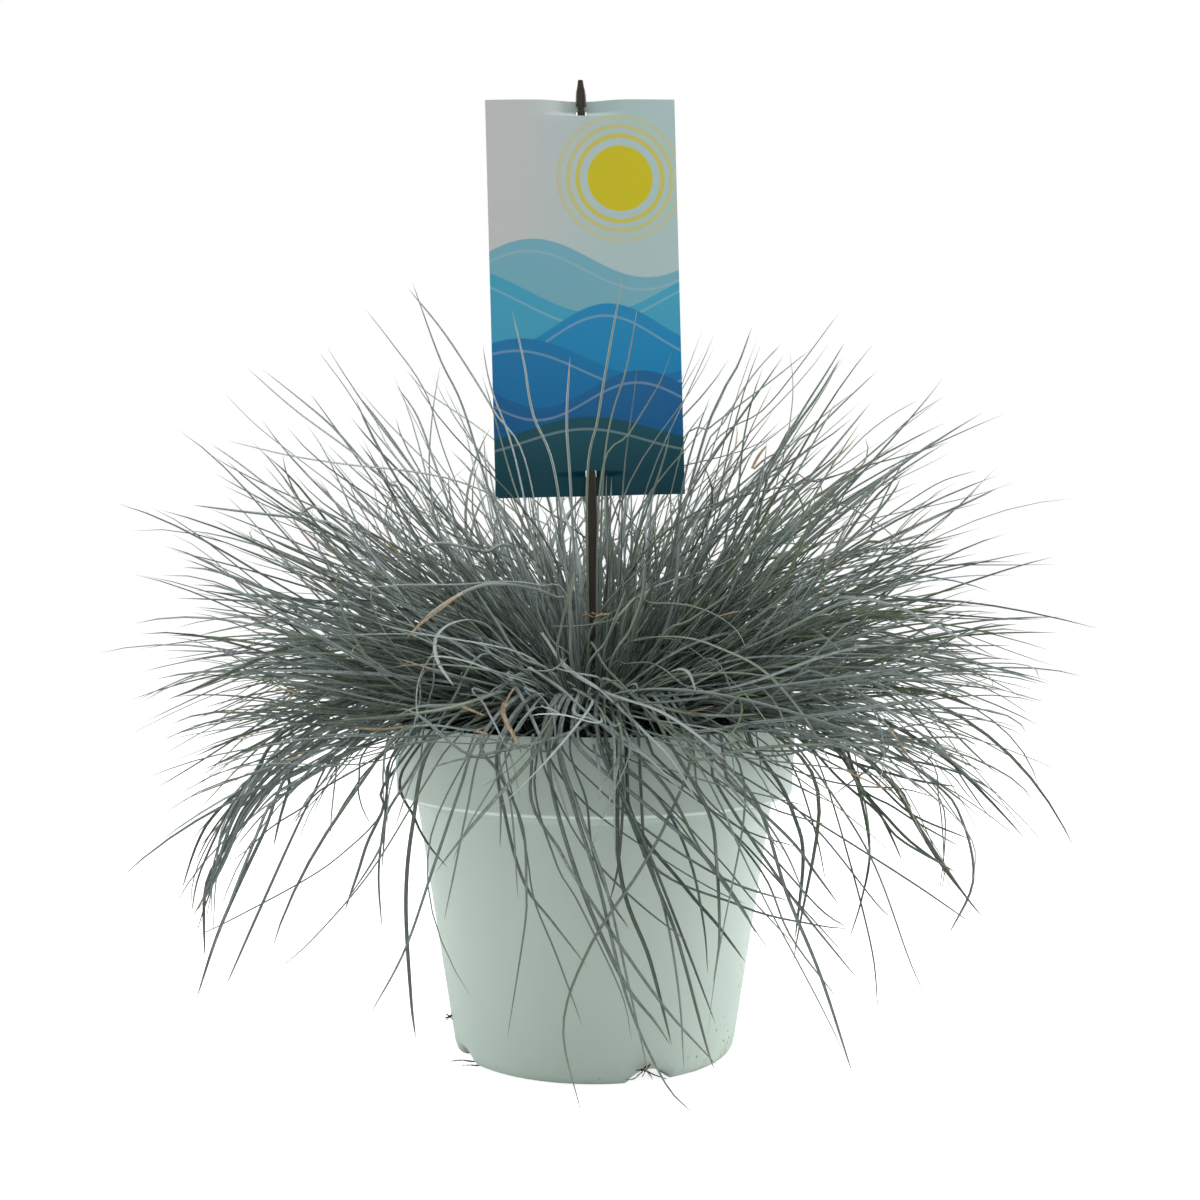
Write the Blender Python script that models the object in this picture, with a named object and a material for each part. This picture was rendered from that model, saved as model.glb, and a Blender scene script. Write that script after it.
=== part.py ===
"""Potted blue fescue clump: a thin-walled pot full of soil, a crown of leaf tufts, a stake and a hang card.

The origin is at the middle of the pot's underside, +Z is up and -Y is the front. Lengths are in metres.
"""

import math

import bmesh
import bpy
import numpy as np
from mathutils import Matrix, Vector

MM = 0.001
GAP = 0.3 * MM

# Pot: a turned wall with a wide collar, a shoulder under it and a rounded foot.
POT_HEIGHT = 140 * MM
RIM_RADIUS = 85 * MM
COLLAR_HEIGHT = 30.5 * MM
COLLAR_FOOT_RADIUS = 83.3 * MM
SHOULDER_RADIUS = 75 * MM
SHOULDER_DROP = 3.5 * MM
FOOT_RADIUS = 58.8 * MM
FOOT_CORNER = 5.5 * MM
WALL = 1.3 * MM
POT_FLOOR = 1.6 * MM
LIP_ROUND = 0.6 * MM
STEP_ROUND = 0.7 * MM
POT_SIDES = 40

# Drain channels: arched tunnels under the pot floor that come out through the foot.
DRAIN_COUNT = 4
DRAIN_FIRST_ANGLE = math.radians(-67)
DRAIN_WIDTH = 19.5 * MM
DRAIN_RISE = 5 * MM
DRAIN_INNER_END = 28 * MM
DRAIN_ROOF = 1.3 * MM
DRAIN_HOLE_RADIUS = 3.5 * MM
DRAIN_HOLE_AT = 39 * MM
DRAIN_ARC_STEPS = 6

# Soil: it fills the pot to just under the rim.
SOIL_TOP = 133.5 * MM
SOIL_EDGE_SLOPE = 4 * MM
SOIL_EDGE_DROP = 1.2 * MM

# Stake: a dark spike with a pointed cap and a neck, leaning a little to the left.
STAKE_TIP_HEIGHT = 410.2 * MM
STAKE_END_HEIGHT = 58 * MM
STAKE_AT_GROUND = 7.9 * MM
STAKE_LEAN = math.radians(2.05)
STAKE_DEPTH_RATIO = 0.7
STAKE_TIP_HALF = 1.0 * MM
STAKE_NECK_HALF = 1.5 * MM
STAKE_BROAD_HALF = 2.1 * MM
STAKE_NARROW_HALF = 1.7 * MM
STAKE_CAP_LENGTH = 10.6 * MM
STAKE_NECK_LENGTH = 7 * MM
STAKE_BROAD_END = 186 * MM
STAKE_SIDES = 8
STAKE_CLEARANCE = 3.0 * MM

# Card: a thin printed sheet threaded on the stake through two slots.
CARD_WIDTH = 79.5 * MM
CARD_HEIGHT = 168 * MM
CARD_BOTTOM = 235.5 * MM
CARD_THICKNESS = 0.5 * MM
CARD_YAW = math.radians(6)
CARD_FORWARD = 2.35 * MM
CARD_BOW = 1.2 * MM
CARD_SLOT_HALF_WIDTH = 2.7 * MM
CARD_SLOT_HEIGHT = 4.8 * MM
CARD_LOW_SLOT = 5.4 * MM
CARD_TOP_SLOT = 2.4 * MM
CARD_TAB_FADE = 7 * MM
CARD_CLEARANCE = 4.5 * MM

# Leaf tufts: shoots on a spiral over the crown, each a short sheath that parts into five needle leaves.
TUFT_COUNT = 44
LEAVES_PER_TUFT = 5
CROWN_INNER = 6.5 * MM
CROWN_OUTER = 38 * MM
GOLDEN_ANGLE = math.pi * (3 - math.sqrt(5))
SHEATH_LENGTH = 15 * MM
SHEATH_RADIUS = 2.6 * MM
SHEATH_FOOT_RADIUS = 2.0 * MM
SHEATH_TILT_SHARE = 0.35
SECTOR_MIDDLE = 0.6
LEAF_SPREAD = 4.4 * MM
LEAF_RADIUS = 1.25 * MM
LEAF_END_RADIUS = 0.45 * MM
LEAF_FIRST_RING = 0.1
LEAF_LAST_RING = 0.9
LEAF_RINGS_UPRIGHT = 4
LEAF_RINGS_TRAILING = 6
LEAF_SAMPLE = 3 * MM
LEAF_CLEARANCE = 0.4 * MM
LEAF_LOWEST = 5 * MM
POT_CLEARANCE = 3 * MM
LEAF_PARTED = 14 * MM
LEAF_OPENING = 26 * MM
LAUNCH_LEAST = math.radians(3)
LAUNCH_MOST = math.radians(84)
OUTWARD_SHARES = (0, 0.3, 0.45, 0.65, 0.88, 1.0, 1.12)
LENGTHS = (170 * MM, 184 * MM, 180 * MM, 156 * MM, 156 * MM, 196 * MM, 216 * MM)
DROOPS = (6, 13, 17, 28, 62, 104, 116)
DROOP_SPREADS = (0.16, 0.16, 0.16, 0.2, 0.4, 0.34, 0.3)
DROOP_POWER = 1.35
STEEPEST = math.radians(172)
ASIDE = math.radians(7)
SHORTEST, LONGEST = 0.8, 1.04
PATH_STEPS = 60
TRIES = 120
SEED = 4

# Sway: how far neighbouring leaves drift together, and the waves per metre (in radians) along x, y and z.
SWAY_START = 50 * MM
SWAY_FULL = 160 * MM
SWAYS = (
    (Vector((7 * MM, 0, 0)), Vector((0, 24, 13)), 0.6),
    (Vector((4 * MM, 0, 0)), Vector((0, 0, 41)), 2.0),
    (Vector((0, 7 * MM, 0)), Vector((23, 0, -15)), 1.9),
    (Vector((0, 0, 6 * MM)), Vector((21, 18, 0)), 0.4),
)


def smooth(x):
    """The S-shaped step from 0 to 1 while x goes from 0 to 1."""
    x = np.clip(x, 0, 1)
    return x * x * (3 - 2 * x)


def principled(name, colour, roughness, metallic=0.0):
    material = bpy.data.materials.new(name)
    material.use_nodes = True
    shader = material.node_tree.nodes["Principled BSDF"]
    shader.inputs["Base Color"].default_value = (*colour, 1)
    shader.inputs["Roughness"].default_value = roughness
    shader.inputs["Metallic"].default_value = metallic
    material.diffuse_color = (*colour, 1)
    return material


def object_from(bm, name, material):
    """Puts the bmesh in a new object of the scene, with its faces pointing out."""
    bmesh.ops.recalc_face_normals(bm, faces=bm.faces)
    mesh = bpy.data.meshes.new(name)
    bm.to_mesh(mesh)
    bm.free()
    made = bpy.data.objects.new(name, mesh)
    bpy.context.scene.collection.objects.link(made)
    if material:
        mesh.materials.append(material)
    return made


def as_cutter(made):
    made.hide_render = True
    made.display_type = "WIRE"
    return made


def add_boolean(target, other, operation):
    step = target.modifiers.new(f"{operation.lower()} {other.name}", "BOOLEAN")
    step.operation = operation
    step.solver = "EXACT"
    step.object = other


def turned(name, profile, sides, material):
    """A solid of revolution: the closed (radius, height) profile is spun round Z. Its ends lie on the axis."""
    bm = bmesh.new()
    points = [bm.verts.new((r, 0, z)) for r, z in profile]
    edges = [bm.edges.new(pair) for pair in zip(points, points[1:])]
    bmesh.ops.spin(
        bm,
        geom=points + edges,
        cent=(0, 0, 0),
        axis=(0, 0, 1),
        angle=2 * math.pi,
        steps=sides,
        use_merge=True,
    )
    bmesh.ops.remove_doubles(bm, verts=bm.verts, dist=0.01 * MM)
    return object_from(bm, name, material)


def extrude_through(bm, face, rings):
    """Extrudes a face along a row of rings, each a list of corner points in the face's own order."""
    for ring in rings:
        face = bmesh.ops.extrude_discrete_faces(bm, faces=[face])["faces"][0]
        for corner, place in zip(face.verts, ring):
            corner.co = place
    return face


def closed_bar(bm, rings):
    """A bar through the given rings of points, capped at both ends. Returns its last cap."""
    corners = [bm.verts.new(place) for place in rings[0]]
    last = extrude_through(bm, bm.faces.new(corners), rings[1:])
    bm.faces.new(reversed(corners))
    return last


# --- pot -----------------------------------------------------------------------------------------------------


def pot_wall_radius(height, inset=0.0):
    """Radius of the pot's outside at a height, made smaller by inset: a taper, a shoulder, then the collar."""
    shoulder_top = POT_HEIGHT - COLLAR_HEIGHT
    shoulder_low = shoulder_top - SHOULDER_DROP
    heights = (FOOT_CORNER, shoulder_low, shoulder_top, POT_HEIGHT)
    radii = (FOOT_RADIUS, SHOULDER_RADIUS, COLLAR_FOOT_RADIUS, RIM_RADIUS)
    return float(np.interp(height, heights, radii)) - inset


def pot_profile():
    """Closed profile of the thin wall, from the middle of the underside out, up, over the rim and back."""
    top = POT_HEIGHT - COLLAR_HEIGHT
    low = top - SHOULDER_DROP
    corner = [
        (FOOT_RADIUS - FOOT_CORNER * (1 - math.sin(a)), FOOT_CORNER * (1 - math.cos(a)))
        for a in np.radians((0, 30, 60, 90))
    ]
    inside_corner = [
        (pot_wall_radius(FOOT_CORNER, WALL), FOOT_CORNER),
        (FOOT_RADIUS - FOOT_CORNER, POT_FLOOR),
    ]
    return (
        [(0, 0)]
        + corner
        + [
            (SHOULDER_RADIUS, low),
            (COLLAR_FOOT_RADIUS - STEP_ROUND, top - STEP_ROUND / 2),
            (COLLAR_FOOT_RADIUS, top + STEP_ROUND),
            (RIM_RADIUS, POT_HEIGHT - LIP_ROUND),
            (RIM_RADIUS - LIP_ROUND, POT_HEIGHT),
            (RIM_RADIUS - WALL, POT_HEIGHT),
            (COLLAR_FOOT_RADIUS - WALL, top + 0.85 * WALL),
            (SHOULDER_RADIUS - WALL, low + 0.7 * WALL),
        ]
        + inside_corner
        + [(0, POT_FLOOR)]
    )


def drain_prism(name, radius_grow, inner_end, outer_end, low, angle):
    """An arched bar along a radius: a slice of a cylinder lying on the ground, cut off flat at height low."""
    arc_radius = (DRAIN_WIDTH**2 / 4 + DRAIN_RISE**2) / (2 * DRAIN_RISE)
    centre = DRAIN_RISE - arc_radius
    radius = arc_radius + radius_grow
    reach = math.acos((low - centre) / radius)
    turns = np.linspace(-reach, reach, DRAIN_ARC_STEPS + 1)
    bm = bmesh.new()
    ends = [
        [Vector((x, radius * math.sin(a), centre + radius * math.cos(a))) for a in turns]
        for x in (inner_end, outer_end)
    ]
    face = bm.faces.new([bm.verts.new(place) for place in ends[0]])
    back = bmesh.ops.extrude_face_region(bm, geom=[face])
    moved = [v for v in back["geom"] if isinstance(v, bmesh.types.BMVert)]
    bmesh.ops.translate(bm, verts=moved, vec=(outer_end - inner_end, 0, 0))
    bmesh.ops.rotate(bm, verts=bm.verts, cent=(0, 0, 0), matrix=Matrix.Rotation(angle, 3, "Z"))
    return as_cutter(object_from(bm, name, None))


def drain_hole(name, angle):
    bm = bmesh.new()
    middle = DRAIN_RISE + DRAIN_ROOF / 2
    place = Vector((DRAIN_HOLE_AT * math.cos(angle), DRAIN_HOLE_AT * math.sin(angle), middle))
    bmesh.ops.create_cone(
        bm,
        cap_ends=True,
        segments=12,
        radius1=DRAIN_HOLE_RADIUS,
        radius2=DRAIN_HOLE_RADIUS,
        depth=4 * DRAIN_ROOF,
        matrix=Matrix.Translation(place),
    )
    return as_cutter(object_from(bm, name, None))


def make_pot():
    """The pot, with the roofs of its drain channels joined on inside and the channels then cut out."""
    plastic = principled("mint_plastic", (0.50, 0.63, 0.57), 0.42)
    pot = turned("pot", pot_profile(), POT_SIDES, plastic)
    angles = [DRAIN_FIRST_ANGLE + k * 2 * math.pi / DRAIN_COUNT for k in range(DRAIN_COUNT)]
    in_wall = FOOT_RADIUS - 1.7 * WALL
    for k, angle in enumerate(angles):
        inner = DRAIN_INNER_END - DRAIN_ROOF
        roof = drain_prism(f"drain_roof_{k}", DRAIN_ROOF, inner, in_wall, POT_FLOOR / 2, angle)
        add_boolean(pot, roof, "UNION")
    for k, angle in enumerate(angles):
        channel = drain_prism(f"drain_channel_{k}", 0, DRAIN_INNER_END, RIM_RADIUS, -POT_FLOOR, angle)
        add_boolean(pot, channel, "DIFFERENCE")
        add_boolean(pot, drain_hole(f"drain_hole_{k}", angle), "DIFFERENCE")
    return pot, angles


# --- stake ---------------------------------------------------------------------------------------------------


def stake_axis(height):
    """The point of the leaning stake's axis at a height."""
    return Vector((STAKE_AT_GROUND - height * math.tan(STAKE_LEAN), 0, height))


def stake_sections():
    """(height, half width) down the stake: cap, neck, broad shaft, narrow shaft, point."""
    cap_foot = STAKE_TIP_HEIGHT - STAKE_CAP_LENGTH
    neck_foot = cap_foot - STAKE_NECK_LENGTH
    broad_foot = STAKE_TIP_HEIGHT - STAKE_BROAD_END
    return (
        (STAKE_TIP_HEIGHT, STAKE_TIP_HALF),
        (STAKE_TIP_HEIGHT - 1 * MM, 1.25 * STAKE_TIP_HALF),
        (cap_foot, STAKE_BROAD_HALF),
        (cap_foot - 1 * MM, STAKE_NECK_HALF),
        (neck_foot, STAKE_NECK_HALF),
        (neck_foot - 6 * MM, STAKE_BROAD_HALF),
        (broad_foot, STAKE_BROAD_HALF),
        (broad_foot - 10 * MM, STAKE_NARROW_HALF),
        (STAKE_END_HEIGHT + 22 * MM, STAKE_NARROW_HALF),
        (STAKE_END_HEIGHT, 0.3 * STAKE_NARROW_HALF),
    )


def stake_mesh(grow):
    turns = [2 * math.pi * (k + 0.5) / STAKE_SIDES for k in range(STAKE_SIDES)]
    rings = []
    for height, half_width in stake_sections():
        wide = half_width + grow
        deep = half_width * STAKE_DEPTH_RATIO + grow
        rings.append([stake_axis(height) + Vector((wide * math.cos(a), deep * math.sin(a), 0)) for a in turns])
    bm = bmesh.new()
    closed_bar(bm, rings)
    return bm


def make_stake():
    plastic = principled("dark_brown_plastic", (0.022, 0.018, 0.015), 0.4)
    return object_from(stake_mesh(0), "stake", plastic)


# --- soil ----------------------------------------------------------------------------------------------------


def make_soil(angles):
    """The root ball: the pot's inside less a small gap, with hollows for the drain roofs and the stake."""
    earth = principled("potting_soil", (0.035, 0.022, 0.016), 0.95)
    top = POT_HEIGHT - COLLAR_HEIGHT
    low = top - SHOULDER_DROP
    inset = WALL + GAP
    profile = (
        (0, POT_FLOOR + GAP),
        (FOOT_RADIUS - FOOT_CORNER - GAP, POT_FLOOR + GAP),
        (pot_wall_radius(FOOT_CORNER, inset), FOOT_CORNER + GAP),
        (SHOULDER_RADIUS - inset, low + 1.2 * WALL),
        (COLLAR_FOOT_RADIUS - inset, top + 1.6 * WALL),
        (pot_wall_radius(SOIL_TOP, inset), SOIL_TOP - SOIL_EDGE_DROP),
        (pot_wall_radius(SOIL_TOP, inset) - SOIL_EDGE_SLOPE, SOIL_TOP),
        (0, SOIL_TOP),
    )
    soil = turned("potting_soil", profile, POT_SIDES, earth)
    for k, angle in enumerate(angles):
        inner = DRAIN_INNER_END - DRAIN_ROOF - GAP
        hollow = drain_prism(f"soil_hollow_{k}", DRAIN_ROOF + GAP, inner, RIM_RADIUS, 0, angle)
        add_boolean(soil, hollow, "DIFFERENCE")
    add_boolean(soil, as_cutter(object_from(stake_mesh(GAP), "stake_hole", None)), "DIFFERENCE")
    return soil


# --- card ----------------------------------------------------------------------------------------------------


def card_point(across, up):
    """A point of the card's middle surface, from its place across and up the flat card.

    Between the slots the card runs in front of the stake; the tabs past the slots bend back behind it.
    """
    low_tab = 1 - smooth((up - CARD_LOW_SLOT) / CARD_SLOT_HEIGHT)
    top_tab = smooth((up - (CARD_HEIGHT - CARD_TOP_SLOT - CARD_SLOT_HEIGHT)) / CARD_SLOT_HEIGHT)
    sideways = max(abs(across) - CARD_SLOT_HALF_WIDTH, 0) / CARD_TAB_FADE
    bend = max(low_tab, top_tab) * math.exp(-(sideways**2))
    back = CARD_FORWARD * (2 * bend - 1) + CARD_BOW * (2 * across / CARD_WIDTH) ** 2
    foot = stake_axis(CARD_BOTTOM)
    right = Vector((math.cos(CARD_YAW), math.sin(CARD_YAW), math.tan(STAKE_LEAN)))
    rise = Vector((-math.sin(STAKE_LEAN), 0, math.cos(STAKE_LEAN)))
    return foot + right * across + rise * up + Vector((0, back, 0))


def make_card():
    """A grid of faces with two cells left out for the slots, thickened to the card's thickness."""
    card_face = principled("printed_card", (0.50, 0.66, 0.66), 0.35)
    half = CARD_WIDTH / 2
    slot = CARD_SLOT_HALF_WIDTH
    columns = (-half, -0.6 * half, -0.3 * half, -slot, slot, 0.3 * half, 0.6 * half, half)
    top_slot_end = CARD_HEIGHT - CARD_TOP_SLOT
    slots = (CARD_LOW_SLOT, top_slot_end - CARD_SLOT_HEIGHT)
    rows = (0, slots[0], slots[0] + CARD_SLOT_HEIGHT, CARD_HEIGHT / 3, 2 * CARD_HEIGHT / 3)
    rows += (slots[1], top_slot_end, CARD_HEIGHT)
    bm = bmesh.new()
    grid = [[bm.verts.new(card_point(u, v)) for u in columns] for v in rows]
    for j, low in enumerate(rows[:-1]):
        for i, left in enumerate(columns[:-1]):
            if left == -slot and low in slots:
                continue
            bm.faces.new((grid[j][i], grid[j][i + 1], grid[j + 1][i + 1], grid[j + 1][i]))
    card = object_from(bm, "plant_label", card_face)
    thick = card.modifiers.new("thickness", "SOLIDIFY")
    thick.thickness = CARD_THICKNESS
    thick.offset = 0
    return card


# --- leaf tufts ----------------------------------------------------------------------------------------------


def crown_place(index):
    """Where shoot number index stands: an even spiral between the crown's inner and outer radius."""
    share = (index + 0.5) / TUFT_COUNT
    radius = math.sqrt(CROWN_INNER**2 + share * (CROWN_OUTER**2 - CROWN_INNER**2))
    return radius, index * GOLDEN_ANGLE


def launch_angle(radius):
    """How far from upright the leaves of a shoot set out, from the middle of the crown to its edge."""
    return LAUNCH_LEAST + (LAUNCH_MOST - LAUNCH_LEAST) * min(radius / CROWN_OUTER, 1.05)


def leaf_line(radius, azimuth, length, droop_factor):
    """The middle line of a leaf that belongs at this place of the crown, from its sheath's top to its tip.

    Its slope starts near the sheath's, opens to the launch angle, then sinks under its own weight. Leaves from
    further out are launched flatter and sink more, so the lines are nested like a fountain and never cross.
    """
    launch = launch_angle(radius)
    tilt = launch * SHEATH_TILT_SHARE
    droop = math.radians(np.interp(radius / CROWN_OUTER, OUTWARD_SHARES, DROOPS)) * droop_factor
    along = np.linspace(0, 1, PATH_STEPS)
    opening = SHEATH_TILT_SHARE + (1 - SHEATH_TILT_SHARE) * smooth(along * length / LEAF_OPENING)
    slope = np.minimum(launch * opening + droop * along**DROOP_POWER, STEEPEST)
    step = length / (PATH_STEPS - 1)
    middle = (slope[1:] + slope[:-1]) / 2
    outward = np.concatenate([[0], np.cumsum(np.sin(middle)) * step])
    upward = np.concatenate([[0], np.cumsum(np.cos(middle)) * step])
    top_radius = radius + SHEATH_LENGTH * math.sin(tilt)
    top_height = SOIL_TOP + GAP + SHEATH_LENGTH * math.cos(tilt)
    distance = top_radius + outward
    return np.stack([distance * math.cos(azimuth), distance * math.sin(azimuth), top_height + upward], axis=1)


def swayed(points):
    """A gentle sideways drift of the whole clump, the same for neighbours, so that it isn't a perfect fountain."""
    x, y, z = points.T
    distance = np.hypot(x, y) + np.abs(z - SOIL_TOP)
    away = smooth((distance - SWAY_START) / (SWAY_FULL - SWAY_START))
    drifts = [np.outer(np.sin(points @ np.array(wave) + phase), reach) for reach, wave, phase in SWAYS]
    return points + away[:, None] * sum(drifts)


def along_line(points, shares):
    """Points at the given shares of a line's length."""
    lengths = np.concatenate([[0], np.cumsum(np.linalg.norm(np.diff(points, axis=0), axis=1))])
    wanted = np.asarray(shares) * lengths[-1]
    return np.stack([np.interp(wanted, lengths, points[:, k]) for k in range(3)], axis=1)


def ring_shares(out):
    """Shares of a leaf's length that get a ring: more of them on the bent, trailing leaves."""
    rings = round(np.interp(out, (0.5, 0.95), (LEAF_RINGS_UPRIGHT, LEAF_RINGS_TRAILING)))
    return np.linspace(LEAF_FIRST_RING, LEAF_LAST_RING, rings)


def leaf_radius(share):
    return LEAF_RADIUS + (LEAF_END_RADIUS - LEAF_RADIUS) * np.asarray(share) ** 1.5


def sampled(stations):
    """Close-set points down a leaf's faceted middle line, with the leaf's radius at each."""
    length = np.linalg.norm(np.diff(stations, axis=0), axis=1).sum()
    shares = np.linspace(0, 1, int(length / LEAF_SAMPLE) + 2)
    return along_line(stations, shares), leaf_radius(shares)


def clear_of_fixed(points, radii):
    """True if the sampled leaf keeps off the pot, the ground, the stake and the card."""
    x, y, z = points.T
    if (z - radii).min() < LEAF_LOWEST:
        return False
    out = np.hypot(x, y)
    wall = np.interp(z, (0, POT_HEIGHT - COLLAR_HEIGHT), (SHOULDER_RADIUS, RIM_RADIUS))
    by_wall = (out > CROWN_OUTER + SHEATH_LENGTH) & (out < wall + POT_CLEARANCE)
    if (by_wall & (z - radii < POT_HEIGHT + POT_CLEARANCE / 2)).any():
        return False
    axis_x = STAKE_AT_GROUND - z * math.tan(STAKE_LEAN)
    if (np.hypot(x - axis_x, y) - radii < STAKE_CLEARANCE).any():
        return False
    by_card = (z > CARD_BOTTOM - CARD_CLEARANCE) & (np.abs(x - axis_x) < CARD_WIDTH / 2 + CARD_CLEARANCE)
    off_card = np.abs(y - (x - axis_x) * math.tan(CARD_YAW)) - radii
    return not (by_card & (off_card < CARD_CLEARANCE)).any()


def nearest_gap(points, radii, others):
    """The smallest free space between a sampled leaf and others, a list of sampled leaves."""
    if not others:
        return math.inf
    other_points = np.concatenate([p for p, r in others])
    other_radii = np.concatenate([r for p, r in others])
    reach = points[:, None, :] - other_points[None, :, :]
    return (np.sqrt((reach**2).sum(axis=2)) - radii[:, None] - other_radii[None, :]).min()


def tuft_lines(index, placed, chance):
    """The middle lines of one tuft's leaves. Each takes the first of some chance bends that is clear of the rest."""
    radius, azimuth = crown_place(index)
    tilt = launch_angle(radius) * SHEATH_TILT_SHARE
    outward = Vector((math.cos(azimuth), math.sin(azimuth), 0))
    foot = outward * radius + Vector((0, 0, SOIL_TOP + GAP))
    top = foot + SHEATH_LENGTH * (outward * math.sin(tilt) + Vector((0, 0, math.cos(tilt))))
    parted = slice(int(LEAF_PARTED / LEAF_SAMPLE), None)
    lines, own = [], []
    for k in range(LEAVES_PER_TUFT):
        turn = azimuth + (k + 0.5) * 2 * math.pi / LEAVES_PER_TUFT
        sector = Vector((math.cos(turn), math.sin(turn), 0))
        start = np.array(top + sector * SHEATH_RADIUS * SECTOR_MIDDLE)
        home = foot + sector * LEAF_SPREAD
        home_radius = math.hypot(home.x, home.y)
        full_length = np.interp(home_radius / CROWN_OUTER, OUTWARD_SHARES, LENGTHS)
        droop_spread = np.interp(home_radius / CROWN_OUTER, OUTWARD_SHARES, DROOP_SPREADS)
        for attempt in range(TRIES):
            wild = 1 + attempt / 12
            length = full_length * (SHORTEST + (LONGEST - SHORTEST) * chance.random()) * 0.99**attempt
            droop = 1 + droop_spread * wild * (chance.random() - 0.5)
            aside = ASIDE * wild * (chance.random() - 0.5)
            line = leaf_line(home_radius, math.atan2(home.y, home.x) + aside, length, droop)
            fade = 1 - smooth(np.linspace(0, length, PATH_STEPS) / LEAF_OPENING)
            line = line + fade[:, None] * (start - line[0])
            stations = along_line(swayed(line), (0, *ring_shares(home_radius / CROWN_OUTER), 1))
            points, radii = sampled(stations)
            if not clear_of_fixed(points, radii):
                continue
            if nearest_gap(points, radii, placed) < LEAF_CLEARANCE + LEAF_SAMPLE / 4:
                continue
            if nearest_gap(points[parted], radii[parted], [(p[parted], r[parted]) for p, r in own]) > 0:
                break
        else:
            raise RuntimeError(f"leaf {k} of tuft {index} finds no clear way")
        own.append((points, radii))
        lines.append(stations)
    placed.extend(own)
    return foot, top, azimuth, lines


def leaf_rings(face, stations):
    """Three-cornered rings down a leaf, carried from the sheath's sector without twisting, and its tip."""
    corners = [np.array(v.co) for v in face.verts]
    centre = sum(corners) / 3
    tangents = np.gradient(stations, axis=0)
    tangents /= np.linalg.norm(tangents, axis=1)[:, None]
    normal = corners[0] - centre
    handed = np.cross(corners[1] - corners[0], corners[2] - corners[0]) @ tangents[0]
    rings = []
    for k, share in enumerate(np.linspace(LEAF_FIRST_RING, LEAF_LAST_RING, len(stations) - 2), start=1):
        normal = normal - (normal @ tangents[k]) * tangents[k]
        normal /= np.linalg.norm(normal)
        side = np.cross(tangents[k], normal) * math.copysign(1, handed)
        turns = [2 * math.pi * c / 3 for c in range(3)]
        radius = float(leaf_radius(share))
        rings.append([Vector(stations[k] + radius * (math.cos(a) * normal + math.sin(a) * side)) for a in turns])
    return rings, Vector(stations[-1])


def make_tuft(index, placed, chance, tones):
    """One shoot: a five-sided sheath whose top parts into five sectors, each drawn out into a needle leaf."""
    foot, top, azimuth, lines = tuft_lines(index, placed, chance)
    turns = [azimuth + k * 2 * math.pi / LEAVES_PER_TUFT for k in range(LEAVES_PER_TUFT)]
    corners = [Vector((math.cos(a), math.sin(a), 0)) for a in turns]
    bm = bmesh.new()
    low = [foot + SHEATH_FOOT_RADIUS * corner for corner in corners]
    cap = closed_bar(bm, [low, [top + SHEATH_RADIUS * corner for corner in corners]])
    fan = bmesh.ops.poke(bm, faces=[cap])["faces"]
    by_angle = {}
    for sector in fan:
        outer = sector.calc_center_median() - top
        turn = (math.atan2(outer.y, outer.x) - azimuth) % (2 * math.pi)
        by_angle[int(turn / (2 * math.pi / LEAVES_PER_TUFT))] = sector
    for k, stations in enumerate(lines):
        rings, tip = leaf_rings(by_angle[k], stations)
        end = extrude_through(bm, by_angle[k], rings)
        bmesh.ops.poke(bm, faces=[end])["verts"][0].co = tip
    return object_from(bm, f"leaf_tuft_{index + 1:02d}", tones[index % len(tones)])


def make_tufts():
    tones = (
        principled("blue_grey_leaf", (0.30, 0.36, 0.34), 0.55),
        principled("silver_leaf", (0.38, 0.44, 0.42), 0.5),
        principled("green_grey_leaf", (0.24, 0.30, 0.23), 0.6),
    )
    chance = np.random.default_rng(SEED)
    placed = []
    return [make_tuft(index, placed, chance, tones) for index in range(TUFT_COUNT)]


def make_all():
    for old in list(bpy.data.objects):
        bpy.data.objects.remove(old)
    pot, angles = make_pot()
    made = [pot, make_soil(angles), make_stake(), make_card(), *make_tufts()]
    for item in (made[0], made[1]):
        item.data.shade_smooth()
        item.data.set_sharp_from_angle(angle=math.radians(35))
    return made


make_all()
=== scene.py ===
import math

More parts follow.
